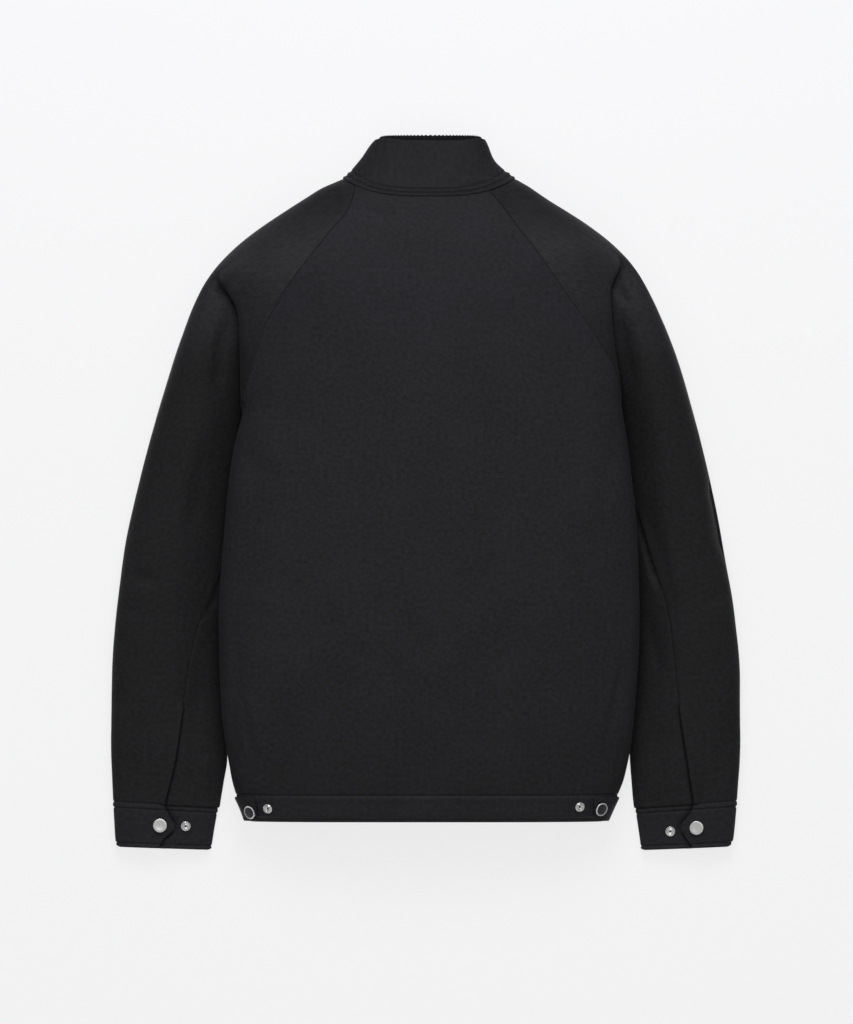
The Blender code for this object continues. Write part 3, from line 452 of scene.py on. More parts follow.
def shoulderHalf(side, y):
    # half ring above the underarm, body and sleeve in one: centre back, outer edge, centre front
    noseX = float(outline(side, y))
    folded = y < creaseEnd[side]
    top = backArc(side, y, dense["shoulderTop"])
    parts = [top] + (overSleeve(side, y, noseX, float(top[-1, 2])) if folded else [])
    noseZ = float(read(sleeveRows, "nose", y) if folded else read(crownRows, "edge", y))
    count = sum(len(part) for part in parts)
    corner = roundedCorner(side, noseX, noseZ, sleeveCorner, dense["sleeveCorner"])
    parts.append(frontArc(side, y, corner, dense["shoulderTop"]))
    path = Path(np.concatenate(parts), side)
    path.nose = path.length[count - 1]
    path.edge = path.length[len(top) - 1]
    path.groove = path.length[len(top) + dense["groove"] - 1] if folded else None
    path.backSeam = path.crossing(
        lambda p: side * (p[:, 0] - seamX("back", side, p[:, 1])), 0, len(top) - 1)
    path.frontSeam = path.crossing(
        lambda p: side * (seamX("front", side, p[:, 1]) - p[:, 0]), count + 12, len(path.points))
    return path


def raglanMark(side, y, path):
    # arc length of the raglan seam, which turns in under the body's edge near the underarm
    if y > turnIn[side]:
        return min(path.backSeam, path.edge - 1.0)
    turn = float(ease((turnIn[side] - y) / (turnIn[side] - underarm)))
    start = min(path.backSeam, path.edge - 1.0)
    return start + (path.groove - 4.0 - start) * turn


def tilt(side, x, y):
    # rows near the cuff follow the slope of the cuff seam
    weight = ease((sloping["high"] - y) / sloping["fade"])
    level = sloping["levelled"] * ease((cuffSeam + 1 - y) / sloping["levelFade"])
    return cuffSlope[side] * (x - side * sloping["middle"]) * weight * (1 - level)


def sleeveRing(side, y):
    # closed ring of the hanging sleeve: inner edge, top, outer edge, underside, inner edge
    toeX = float(read(toeRows, sideName[side], y))
    noseX = float(outline(side, y))
    toeZ = float(read(sleeveRows, "toe", y))
    noseZ = float(read(sleeveRows, "nose", y))
    t = (1 + np.cos(np.linspace(0, math.pi, dense["sleeveTop"]))) / 2
    top = lineAt(noseX + (toeX - noseX) * t, y, hump(t, y))
    x, z = roundedCorner(side, noseX, noseZ, sleeveCorner, dense["sleeveCorner"])
    outer = lineAt(x, y, z)
    end = toeX + side * toeCorner
    x = np.linspace(x[-1], end, dense["flat"])[1:]
    flat = lineAt(x, y, np.zeros_like(x))
    corner = quarter(dense["toeCorner"])[1:]
    inner = lineAt(end - side * toeCorner * np.sin(corner), y, toeZ * (1 - np.cos(corner)))
    points = np.concatenate([top, outer, flat, inner])
    points[:, 1] += tilt(side, points[:, 0], y)
    once = Path(points, side)
    ring = Path(np.concatenate([points[:-1], points]), side)
    ring.total = once.length[-1]
    ring.nose = once.length[len(top) - 1]
    ring.hindarm = once.crossing(
        lambda p: side * (p[:, 0] - read(hindarmRows, sideName[side], y)), 0, len(top))
    ring.forearm = once.crossing(
        lambda p: side * (read(forearmRows, sideName[side], y) - p[:, 0]),
        len(top) + len(outer) - 1, len(top) + len(outer) + len(flat))
    return ring


def spaced(start, end, count, bias=0.0):
    # count + 1 positions, denser at both ends with bias toward 1
    k = np.linspace(0, 1, count + 1)
    eased = 0.5 - 0.5 * np.cos(math.pi * k)
    return start + (end - start) * ((1 - bias) * k + bias * eased)


tabPointRows = {
    -1: table("y x", [(0.0, -288.5), (0.2, -283.5), (0.5, -270.8), (0.78, -277.5), (1.0, -283.2)]),
    1: table("y x", [(0.0, 289.5), (0.22, 282.0), (0.5, 275.6), (0.8, 286.0), (1.0, 290.5)]),
}
cuffLap = 30.0
cuffPress = {"deep": 3.0, "wide": 7.0}                   # the strip sinks just beyond the tab's edge
cuffCorner = {"wide": 4.0, "share": 0.16, "rise": 1.5}     # its bottom corners are rounded


def cuffSink(done):
    # depth of the strip below its outer level, done being the share of its turn
    return (bandWall + layerGap) * (1 - ease(done / 0.9))


collarLow = 12.0       # up to here the collar's rows follow the neck seam, mm
collarCorner = 2.6     # how much lower the collar is at its sides
collarCornerPower = 14
sideHigh = collarTop - collarCorner - neckSide   # of the collar at its sides
collarOpening = 7.0    # half the gap at centre front


def collarHalf(y):
    # half width of the collar at y
    return np.where(y < neckSide, collarReach, (outline(1, y) - outline(-1, y)) / 2)


def collarMiddle(y):
    return np.where(y < neckSide, collarCentre, (outline(1, y) + outline(-1, y)) / 2)


collarDip = {"deep": 4.2, "least": 0.35, "left": -44.0, "right": 58.0, "fade": 30.0}


def collarRow(share, offset, cells, dip=0.0):
    # row of the collar from centre front round the back to centre front
    opening = collarOpening / collarReach
    turn = np.linspace(-math.pi / 2 + opening, 1.5 * math.pi - opening, cells * 2 + 1)
    across = -np.sign(np.cos(turn)) * np.abs(np.cos(turn)) ** 0.92
    onBack = np.sin(turn) >= 0
    xSeam = collarCentre + collarReach * across
    seam = np.where(onBack, neckBack(xSeam), neckFront(xSeam)) + seamGap / 2
    topBack = collarTop - collarCorner * np.abs(across) ** collarCornerPower
    xTop = collarCentre + collarHalf(collarTop) * across
    sagging = ease((xTop - collarDip["left"]) / collarDip["fade"])
    sagging = sagging * ease((collarDip["right"] - xTop) / collarDip["fade"])
    least = collarDip["least"]
    topBack = topBack - dip * (least + (1 - least) * sagging) * onBack * (1 - np.abs(across) ** 8)
    topFront = collarTop - collarCorner - collarFrontDip * (1 - np.abs(across) ** 2.2)
    top = np.where(onBack, topBack, topFront)
    rest = np.clip((share * sideHigh - offset) / (sideHigh - collarLow), 0, 1)
    y = seam + offset + (top - seam - offset) * rest
    level = np.minimum(y, collarTop)
    sideLevel = neckSide + sideHigh * share
    x = collarMiddle(sideLevel) + collarHalf(sideLevel) * across
    inset = collarHalf(sideLevel) * (1 - np.abs(across))
    corner = np.clip((sleeveCorner - inset) / sleeveCorner, 0, 1)
    edge = read(crownRows, "edge", sideLevel)
    low = edge * (1 - np.sqrt(1 - corner ** 2)) + channel(x)
    high = edge + (read(crownRows, "height", level) - edge) * (1 - np.abs(across) ** crownPower) ** 0.5
    bodyLevel = np.where(level < neckSide, crown(x, level), high)
    z = np.where(onBack, bodyLevel, low)
    return Path(np.stack([x, y, z], axis=1), 1)


hemTabRows = {
    -1: table("y x", [(-352.6, -180.0), (-340.0, -181.6), (-327.0, -184.0)]),
    1: table("y x", [(-352.6, 181.5), (-340.0, 181.0), (-327.0, 180.6)]),
}


def sleeveTop(side, x, y):
    # height of the hanging sleeve's outer surface at (x, y)
    noseX = outline(side, y)
    t = (noseX - x) / (noseX - read(toeRows, sideName[side], y))
    return hump(t, y)


def seat(surface, x, y, lift):
    # frame over (x, y): origin lifted off the surface, Z along its outward normal
    step = 2.0
    slopeX = (surface(x + step, y) - surface(x - step, y)) / (2 * step)
    slopeY = (surface(x, y + step) - surface(x, y - step)) / (2 * step)
    normal = Vector((-slopeX, -slopeY, 1)).normalized()
    origin = Vector((x, y, float(surface(x, y)))) + normal * lift
    rotation = normal.to_track_quat("Z", "Y").to_matrix().to_4x4()
    return Matrix.Translation(origin) @ rotation


# snap centres: cap and stud of each cuff and of each side of the hem
cuffSnaps = {-1: ((-286.9, -358.4), (-258.9, -359.4)), 1: ((292.5, -361.0), (264.3, -365.0))}
hemSnaps = {-1: ((-186.6, -342.3), (-169.6, -339.3)), 1: ((186.9, -338.8), (165.8, -337.3))}


# grids of points over the cloth, one row for each level along Y
bodyCut = {"cells": 150, "step": 3.0, "joinLow": 70.0}
frontCut = {"cells": 46, "slopeCells": 14, "step": 3.6}
sleeveCut = {"grooveCells": 14, "topCells": 42, "underCells": 30, "step": 3.0}
underCut = {"flatCells": 30, "topCells": 22, "step": 3.0}
seamMarks = np.array([0.0, 0.3, 0.7, 1.2, 1.8, 2.6, 3.6])   # mm from a seam
foldMarks = np.array([0.0, 0.1, 0.35, 0.7, 1.1, 1.8])       # mm from a folded edge


def marked(start, end, cells, bias, first, last):
    # positions from start to end with close ones beside both borders
    inner = spaced(start + first[-1], end - last[-1], cells, bias)
    return np.concatenate([start + first[:-1], inner, (end - last[:-1])[::-1]])


def levelsBetween(low, high, step, first, last):
    cells = max(2, int(round((high - low - first[-1] - last[-1]) / step)))
    return marked(low, high, cells, 0.0, first, last)


def mixRows(rowAt, y, low, high):
    share = (y - low) / (high - low)
    a, b = rowAt(low), rowAt(high)
    return tuple(p + (q - p) * share for p, q in zip(a, b))


def trimNeck(points, under, share):
    points[:, 1] -= (seamGap / 2 + 0.45 * under) * share
    return points


def bothSides(left, right):
    return Path(np.concatenate([left.points[:0:-1], right.points]), 1)


def backRow(y):
    low = bodyCut["joinLow"]
    if low < y < underarm:
        return mixRows(backRow, y, low, underarm)
    if y <= low:
        halves = [bodyHalf(side, y) for side in (-1, 1)]
        ends = [half.sideSeam for half in halves]
    else:
        halves = [shoulderHalf(side, y) for side in (-1, 1)]
        ends = [raglanMark(side, y, half) for side, half in zip((-1, 1), halves)]
    whole = bothSides(*halves)
    middle = halves[0].length[-1]
    start = middle - ends[0] + seamGap / 2
    end = middle + ends[1] - seamGap / 2
    run = marked(start, end, bodyCut["cells"], 0.75, seamMarks, seamMarks)
    points = whole.at(run)
    return trimNeck(points, 0, float(ease((y - 322) / (neckSide - 322)))), run


def frontRow(side, y):
    low = bodyCut["joinLow"]
    if low < y < underarm:
        return mixRows(functools.partial(frontRow, side), y, low, underarm)
    if y <= low:
        half = bodyHalf(side, y)
        start = half.sideSeam
    else:
        half = shoulderHalf(side, y)
        start = half.frontSeam
    end = half.length[-1] - chainWidth / 2 - seamGap
    rise = end - (channelHalf - chainWidth / 2)
    beside = marked(start + seamGap / 2, rise, frontCut["cells"], 0.5, seamMarks, seamMarks[:1])
    slope = marked(rise, end, frontCut["slopeCells"], 0.0, seamMarks[:1], foldMarks)[1:]
    run = np.concatenate([beside, slope])
    return trimNeck(half.at(run), 1, max(0.0, (y - 283) / (neckSide - 283))), run


def upperSleeveRow(side, y):
    low = underarm - 4
    if low < y < underarm:
        return mixRows(functools.partial(upperSleeveRow, side), y, low, underarm)
    if y <= low:
        path = sleeveRing(side, y)
        start = path.hindarm + seamGap / 2
        end = path.forearm - seamGap / 2
        fold = start + (path.nose - start) * (0.04 + 0.29 * float(ease((underarm - y) / 120)))
    else:
        path = shoulderHalf(side, y)
        start = raglanMark(side, y, path) + seamGap / 2
        end = path.frontSeam - seamGap
        near = 1 - ease((y - creaseEnd[side]) / 60)
        fold = path.groove or start + (path.nose - start) * (0.33 + 0.57 * float(near))
    first = start + seamMarks * min(1.0, (fold - start) / (seamMarks[-1] + 0.2))
    groove = np.linspace(first[-1], fold, sleeveCut["grooveCells"] + 1)[1:]
    top = spaced(fold, path.nose, sleeveCut["topCells"], 0.5)[1:]
    under = marked(path.nose, end, sleeveCut["underCells"], 0.4, seamMarks[:1], seamMarks)[1:]
    run = np.concatenate([first, groove, top, under])
    points = path.at(run)
    return trimNeck(points, 1, max(0.0, (y - 332) / (neckSide - 332))), run


def underSleeveRow(side, y):
    ring = sleeveRing(side, y)
    start = ring.forearm + seamGap / 2
    end = ring.total + ring.hindarm - seamGap / 2
    flat = marked(start, ring.total, underCut["flatCells"], 0.5, seamMarks, seamMarks[:1])
    top = marked(ring.total, end, underCut["topCells"], 0.3, seamMarks[:1], seamMarks)[1:]
    run = np.concatenate([flat, top])
    return ring.at(run), run


def cuffRow(side, y):
    share = (y - cuffBottom) / (cuffSeam - seamGap / 2 - cuffBottom)
    ring = sleeveRing(side, y)
    tipX = float(read(tabPointRows[side], "x", share))
    tip = ring.crossing(lambda p: side * (p[:, 0] - tipX), 0, dense["sleeveTop"] - 1)
    begin = tip + cuffLap
    run = np.concatenate([
        np.linspace(begin, tip, cuffCut["lap"] + 1) + ring.total,
        spaced(tip, 0.5, cuffCut["tab"], 0.3)[1:] + ring.total,
        spaced(ring.total, ring.nose, cuffCut["under"], 0.6)[1:],
        np.linspace(ring.nose, begin, cuffCut["lap"])[1:],
        marked(begin, tip, cuffCut["tab"], 0.0, foldMarks[:1], -foldMarks)[1:],
    ])
    points, out = ring.at(run), ring.outward(run)
    sink = cuffSink((run[0] - run) / (run[0] - tip))
    pressed = 1 - ease((run[0] - run - cuffLap) / cuffPress["wide"])
    sink = sink + cuffPress["deep"] * pressed * (run > ring.nose)
    points[:, 0] -= out[:, 0] * sink
    points[:, 2] = np.maximum(points[:, 2] - out[:, 1] * sink, 0)
    x = points[:, 0]
    inset = np.minimum(np.abs(x - x.min()), np.abs(x - x.max()))
    corner = np.clip(1 - inset / cuffCorner["wide"], 0, 1) ** 2
    points[:, 1] += cuffCorner["rise"] * corner * max(0.0, 1 - share / cuffCorner["share"]) ** 2
    return points, run[0] - run


def collarLine(rise, cells, over=0.0, dip=0.0):
    # one row of the collar, rise mm above the neck seam, from centre front round the back
    path = collarRow(rise / sideHigh, min(rise, collarLow), cells, dip)
    path.points[:, 1] += over
    run = path.length[::2]
    return path.points[::2].copy(), run


def hemTabRow(side, y):
    half = bodyHalf(side, y)
    edgeX = float(read(hemTabRows[side], "x", y))
    start = half.crossing(lambda p: side * (p[:, 0] - edgeX), 0, dense["bodyTop"] - 1)
    end = half.sideSeam - hemTabCut["under"]
    run = marked(start, end, hemTabCut["cells"], 0.2, foldMarks, foldMarks)
    return half.at(run), run


# creases, given one by one: line in mm seen from above, width, height
topCreases = {
    "back": [
        # left of the waist: the cloth folds softly up to the body's edge
        ([(-204, -135), (-203, -190), (-208, -240), (-204, -290)], 6.0, -2.5),
        ([(-199, -205), (-193, -250), (-188, -275), (-187, -296)], 4.5, -2.9),
        ([(-193, -212), (-187, -250), (-182, -280)], 4.5, 1.5),
        ([(-189, -300), (-180, -316), (-168, -320)], 7.0, 1.4),
        # right of the waist
        ([(219, -155), (213, -185), (206, -215), (199, -250), (193, -290)], 5.5, -2.9),
        ([(210, -170), (203, -200), (195, -232), (187, -268)], 5.0, 1.5),
        ([(226, -100), (222, -150), (217, -190)], 5.0, 1.4),
        # drag below the armholes
        ([(-198, 60), (-186, 20), (-180, -30)], 9.0, -1.5),
        ([(-190, 92), (-172, 60), (-160, 20)], 12.0, 1.0),
        ([(208, 66), (196, 24), (190, -26)], 9.0, -1.5),
        ([(200, 98), (180, 66), (168, 24)], 12.0, 1.0),
        # broad rolls of the filled back
        ([(-120, 250), (-128, 200), (-150, 150), (-160, 100)], 16.0, -1.2),
        ([(118, 246), (128, 200), (152, 150), (168, 104)], 16.0, -1.2),
        ([(-60, -60), (-20, -160), (-30, -260)], 30.0, -0.8),
        ([(90, -30), (70, -140), (84, -250)], 28.0, -0.8),
        ([(20, 160), (8, 40), (24, -70)], 34.0, 0.7),
        ([(-70, 308), (-50, 300), (-20, 296)], 8.0, -0.8),
    ],
    "sleeve_left": [
        ([(-88, 322), (-98, 316), (-112, 306), (-120, 296)], 8.0, -2.4),
        ([(-150, 282), (-168, 266), (-184, 250)], 12.0, 1.7),
        ([(-205, 236), (-214, 224), (-226, 214)], 5.0, -2.0),
        ([(-212, 196), (-222, 150), (-226, 100)], 8.0, -2.7),
        ([(-246, 180), (-262, 110), (-278, 40)], 14.0, 1.4),
        ([(-236, 60), (-246, 0), (-258, -60)], 10.0, -2.0),
        ([(-300, -20), (-306, -80), (-310, -150)], 12.0, 1.4),
        ([(-331, -70), (-318, -86), (-300, -94), (-282, -92)], 8.0, -2.5),
        ([(-336, -120), (-322, -128), (-304, -130)], 7.0, -1.5),
        ([(-276, -250), (-282, -290), (-290, -326)], 9.0, 1.2),
        ([(-312, -232), (-318, -280), (-312, -325)], 10.0, -1.4),
        ([(-296, -270), (-300, -300), (-304, -330)], 6.0, -1.0),
    ],
    "sleeve_right": [
        ([(80, 328), (96, 318), (112, 306)], 8.0, -1.9),
        ([(150, 282), (168, 266), (180, 250)], 12.0, 1.4),
        ([(205, 228), (212, 214), (222, 202)], 5.0, -2.4),
        ([(208, 196), (216, 150), (224, 112)], 8.0, -2.7),
        ([(246, 180), (262, 110), (276, 40)], 14.0, 1.2),
        ([(306, 26), (314, -8), (320, -44), (322, -80)], 9.0, -3.4),
        ([(284, 0), (292, -36), (304, -70)], 10.0, 1.5),
        ([(250, 6), (258, -40), (270, -84), (276, -130)], 8.0, 1.4),
        ([(330, -98), (316, -112), (298, -118)], 7.0, -1.9),
        ([(286, -250), (290, -290), (296, -326)], 9.0, 1.2),
        ([(318, -230), (322, -276), (316, -325)], 10.0, -1.4),
    ],
    "under_left": [
        ([(-218, -80), (-226, -110), (-238, -136)], 5.0, -2.7),
        ([(-246, -200), (-250, -240), (-252, -290)], 8.0, -1.4),
        ([(-232, -280), (-238, -300), (-240, -330)], 7.0, 1.4),
    ],
    "under_right": [
        ([(231, -22), (238, -48), (246, -76), (251, -102)], 5.5, -5.4),
        ([(236, -120), (246, -160), (254, -200)], 7.0, -1.7),
        ([(262, -270), (266, -296), (264, -328)], 8.0, 1.5),
    ],
}
# the hidden side rests on the surface, so its creases only rise into the jacket
lowCreases = {
    "front_left": [
        ([(-186, 70), (-150, 40), (-110, 24), (-60, 20)], 9.0, -2.4),
        ([(-192, -40), (-150, -62), (-100, -70)], 11.0, -1.8),
        ([(-186, -180), (-140, -168), (-90, -180)], 9.0, -2.0),
        ([(-40, -80), (-34, -150), (-42, -220)], 8.0, -1.6),
        ([(-150, -318), (-140, -290), (-146, -262)], 7.0, -1.5),
        ([(-90, -320), (-84, -296), (-92, -268)], 7.0, -1.8),
        ([(-80, 200), (-96, 160), (-104, 110)], 10.0, -1.8),
    ],
    "front_right": [
        ([(190, 64), (150, 44), (112, 30), (70, 34)], 9.0, -2.2),
        ([(198, -60), (156, -50), (110, -66)], 11.0, -1.7),
        ([(190, -150), (150, -170), (96, -160)], 9.0, -2.1),
        ([(44, -60), (38, -120), (50, -200)], 8.0, -1.6),
        ([(160, -320), (150, -292), (158, -266)], 7.0, -1.6),
        ([(96, -322), (104, -290), (94, -262)], 7.0, -1.6),
        ([(84, 206), (100, 150), (104, 100)], 10.0, -1.6),
    ],
    "sleeve_left": [
        ([(-316, -40), (-290, -60), (-262, -58)], 8.0, -2.4),
        ([(-322, -86), (-296, -92), (-268, -104)], 7.0, -2.0),
        ([(-290, 60), (-262, 40), (-240, 50)], 9.0, -1.8),
        ([(-300, -240), (-292, -280), (-302, -320)], 8.0, -1.6),
        ([(-160, 240), (-180, 200), (-190, 160)], 9.0, -1.8),
    ],
    "sleeve_right": [
        ([(312, -30), (288, -48), (260, -44)], 8.0, -2.3),
        ([(320, -74), (294, -84), (266, -80)], 7.0, -2.1),
        ([(292, 50), (264, 36), (244, 48)], 9.0, -1.7),
        ([(306, -236), (298, -276), (306, -316)], 8.0, -1.6),
        ([(166, 236), (184, 200), (196, 156)], 9.0, -1.7),
    ],
    "under_left": [
        ([(-256, -60), (-238, -70), (-222, -66)], 7.0, -1.8),
        ([(-256, -180), (-240, -200), (-226, -196)], 8.0, -1.4),
    ],
    "under_right": [
        ([(260, -50), (244, -62), (230, -58)], 7.0, -1.8),
        ([(262, -190), (248, -206), (232, -200)], 8.0, -1.4),
    ],
}


def creaseHeight(points, lines):
    # sum of the soft creases at each point, each fading out at both its ends
    height = np.zeros(points.shape[:2])
    flat = points[..., :2]
    for line, width, tall in lines:
        line = np.array(line, dtype=float)
        steps = np.linalg.norm(np.diff(line, axis=0), axis=1)
        before = lengthsAlong(line)
        reach = 3 * width
        low, high = line.min(axis=0) - reach, line.max(axis=0) + reach
        near = ((flat >= low) & (flat <= high)).all(axis=2)
        p = flat[near]
        if not len(p):
            continue
        best = np.full(len(p), 1e9)
        place = np.zeros(len(p))
        for k, step in enumerate(steps):
            way = (line[k + 1] - line[k]) / step
            along = np.clip((p - line[k]) @ way, 0, step)
            gap = np.linalg.norm(p - line[k] - along[:, None] * way, axis=1)
            closer = gap < best
            best[closer] = gap[closer]
            place[closer] = (before[k] + along[closer]) / before[-1]
        inside = np.minimum(place, 1 - place)
        fade = ease(inside / 0.3) * 0.9 + 0.1 * (inside > 0)
        height[near] += tall * fade * np.exp(-(best / width) ** 2)
    return height


unevenness = {"wide": 60.0, "wideTall": 0.55, "small": 17.0, "smallTall": 0.12}


def uneven(points, seed):
    # soft waves that no filled cloth is without
    out = np.empty(points.shape[:2])
    shift = Vector((seed * 7.3, seed * 3.1, seed * 5.7))
    for j in range(points.shape[0]):
        for i in range(points.shape[1]):
            p = Vector(points[j, i])
            a = noise.noise(p / unevenness["wide"] + shift)
            b = noise.noise(p / unevenness["small"] + shift * 2)
            out[j, i] = a * unevenness["wideTall"] + b * unevenness["smallTall"]
    return out


def facing(points, sign):
    across = np.gradient(points, axis=1)
    along = np.gradient(points, axis=0)
    full = np.cross(across, along) * sign
    size = np.linalg.norm(full, axis=2, keepdims=True)
    return full / np.where(size == 0, 1, size)


roll = {"deep": 0.6, "wide": 2.4}      # how cloth turns down into a seam


def borderDrop(kind, gap, thick):
    # depth of the outer face and lift of the inner face at a distance from a border
    if kind == "seam":
        t = np.clip(1 - gap / roll["wide"], 0, 1)
        return roll["deep"] * t ** 2, 0 * t
    if kind == "fold":
        half = thick / 2 - 0.03
        t = np.clip(1 - gap / half, 0, 1)
        turn = half * (1 - np.sqrt(1 - t ** 2))
        return turn, turn
    return 0 * gap, 0 * gap


def evened(points, levels, reach, fade=22.0):
    # runs the surface smoothly across its levels, and leaves its borders where they are
    gap = levels[:, None] - levels[None, :]
    spacing = np.gradient(levels)
    weight = np.exp(-0.5 * (gap / reach) ** 2) * spacing[None, :]
    weight /= weight.sum(axis=1, keepdims=True)
    smooth = np.einsum("jk,kic->jic", weight, points)
    smooth[..., 1] = points[..., 1]
    run = lengthsAlong(points)
    beside = np.minimum(run, run[:, -1:] - run)
    ends = np.minimum(levels - levels[0], levels[-1] - levels)[:, None]
    share = ease(beside / fade) * ease(ends / (2.5 * reach))
    return points + (smooth - points) * share[..., None]


def newPiece(name, points, faces):
    # a smooth mesh from points in mm, put at its place in the frame
    placed = (points - np.array(frameCentre)) * mm
    mesh = bpy.data.meshes.new(name)
    mesh.from_pydata(placed.tolist(), [], faces)
    mesh.shade_smooth()
    thing = bpy.data.objects.new(name, mesh)
    bpy.context.scene.collection.objects.link(thing)
    return thing


def lengthsAlong(points):
    # distance of each point from the first one of its row
    steps = np.linalg.norm(np.diff(points, axis=-2), axis=-1)
    return np.concatenate([np.zeros_like(steps[..., :1]), np.cumsum(steps, axis=-1)], axis=-1)


def wallFaces(n, m, turned):
    # faces of a closed wall of n rows of m points: outer side, inner side and rim
    count = n * m
    index = np.arange(count).reshape(n, m)
    a, b = index[:-1, :-1].ravel(), index[:-1, 1:].ravel()
    c, d = index[1:, 1:].ravel(), index[1:, :-1].ravel()
    ring = np.concatenate([index[0, :], index[1:, -1], index[-1, -2::-1], index[-2::-1, 0]])
    p, q = ring[:-1], ring[1:]
    sides = [(a, b, c, d), (a + count, d + count, c + count, b + count), (p, p + count, q + count, q)]
    faces = np.concatenate([np.stack(side, axis=1) for side in sides])
    return faces[:, ::-1] if turned else faces


clothPieces = {}
tuck = 1.3        # how far each seam's edge reaches below its neighbour's, mm


def sewnPiece(name, rows, levels, sign, thick, borders, creases=(), low=(), lift=0.0, seed=1.0,
              extra=None, waves=1.0, even=0.0):
    # closed wall of cloth from rows of points; borders say how left, right, bottom and top end
    points = np.array([row[0] for row in rows])
    run = np.array([row[1] for row in rows])
    levels = np.array(levels)
    if even:
        points = evened(points, levels, even)
    along = np.broadcast_to(levels[:, None], run.shape)
    gaps = [run - run[:, :1], run[:, -1:] - run, along - levels[0], levels[-1] - along]
    out = facing(points, sign)
    upward = out[..., 2] > 0
    height = np.where(upward, creaseHeight(points, creases), creaseHeight(points, low))
    calm = ease(np.minimum.reduce(gaps) / 12)
    height = height * ease(np.minimum.reduce(gaps) / 6) + uneven(points, seed) * calm * waves
    if extra is not None:
        height = height + extra(points, run, gaps, levels)
    raised = np.zeros(run.shape)
    for kind, gap in zip(borders, gaps):
        drop, up = borderDrop(kind, np.abs(gap), thick)
        height = height - drop
        raised = np.maximum(raised, up)
    outer = points + out * (height + lift)[..., None]
    resting = outer[..., 2] < 0.0
    outer[..., 2] = np.maximum(outer[..., 2], 0.0)
    turned = facing(outer, sign)
    turned = np.where(resting[..., None], out, turned)
    inner = outer - turned * (thick - 2 * raised)[..., None]
    rim = [np.s_[:, 0], np.s_[:, -1], np.s_[0], np.s_[-1]]
    beside = [np.s_[:, 1], np.s_[:, -2], np.s_[1], np.s_[-2]]
    for kind, last, before in zip(borders, rim, beside):
        if kind == "seam":
            way = points[last] - points[before]
            inner[last] += way / np.linalg.norm(way, axis=-1, keepdims=True) * tuck
    clothPieces[name] = {"points": outer, "out": turned, "run": run, "levels": levels}
    vertices = np.concatenate([outer.reshape(-1, 3), inner.reshape(-1, 3)])
    thing = newPiece(name, vertices, wallFaces(*run.shape, sign < 0).tolist())
    mesh = thing.data
    across = lengthsAlong(points)
    across = across - across[:, across.shape[1] // 2, None]
    flat = np.tile(np.stack([across.ravel(), along.ravel()], axis=1) * mm, (2, 1))
    uv = mesh.uv_layers.new(name="weave")
    loops = np.empty(len(mesh.loops), dtype=np.int32)
    mesh.loops.foreach_get("vertex_index", loops)
    uv.data.foreach_set("uv", flat[loops].astype(np.float32).ravel())
    corners = np.cross(points[1:, 1:] - points[:-1, :-1], points[1:, :-1] - points[:-1, 1:])
    area = 0.5 * np.linalg.norm(corners, axis=2).sum() * mm ** 2
    print("%s: %d faces, run %.0f, %.4f m2" % (name, len(mesh.polygons), run.max() - run.min(), area))
    return thing


# the cut pieces
vent = {"top": -226.0, "fade": 10.0, "wide": 9.0, "tall": 1.9, "under": 1.4, "trench": 3.2,
        "trenchWide": 3.6}


def openVent(levels):
    return ease((vent["top"] - levels) / vent["fade"])[:, None]


# below each underarm the under sleeve is tucked in beside its seam
underTuck = {-1: {"low": -150.0, "high": -84.0, "deep": 1.2, "wide": 8.0, "lap": 0.5},
             1: {"low": -124.0, "high": -12.0, "deep": 6.0, "wide": 13.0, "lap": 1.6}}


def tucked(side, levels):
    t = underTuck[side]
    share = (levels - t["low"]) / (t["high"] - t["low"])
    return (ease(share / 0.45) * ease((1 - share) / 0.3))[:, None]


def upperExtra(side):
    # below its vent the upper sleeve laps over the under sleeve: its folded edge stands up
    t = underTuck[side]
    def extra(points, run, gaps, levels):
        undo = borderDrop("seam", gaps[0], wall)[0]
        rise = openVent(levels) * (undo + vent["tall"] * ease(1 - gaps[0] / vent["wide"]))
        return rise + t["lap"] * tucked(side, levels) * ease(1 - gaps[0] / t["wide"])
    return extra


def underExtra(side):
    # and the under sleeve sinks beside that edge, so that it shows as a dark line
    t = underTuck[side]
    def extra(points, run, gaps, levels):
        broad = vent["under"] * ease(1 - gaps[1] / vent["wide"])
        sink = openVent(levels) * (broad + vent["trench"] * ease(1 - gaps[1] / vent["trenchWide"]))
        return -sink - t["deep"] * tucked(side, levels) * ease(1 - gaps[1] / t["wide"])
    return extra


def bandStitchDip(places, side=2):
    # the thread pulls the cloth down along each row of stitches
    def dip(points, run, gaps, levels):
        out = 0
        for place in places:
            away = gaps[side] - place
            out = out - stitch["dip"] * np.exp(-(away / stitch["dipWide"]) ** 2)
            out = out + stitch["ridge"] * np.exp(-((away + stitch["beside"]) / stitch["ridgeWide"]) ** 2)
        return out
    return dip


def pucker(run, gaps, seed):
    # small uneven gathers where thread draws a band in
    wave = np.sin(run / 2.3 + 1.7 * np.sin(run / 9.1 + seed))
    wave = wave + 0.8 * np.sin(run / 4.1 + 2.3 * np.sin(run / 17.0 + 2 * seed))
    patch = 0.55 + 0.45 * np.sin(run / 23.0 + 3 * seed)
    inside = np.exp(-((gaps[3] - puckers["at"]) / puckers["wide"]) ** 2)
    return puckers["tall"] * wave * patch * inside


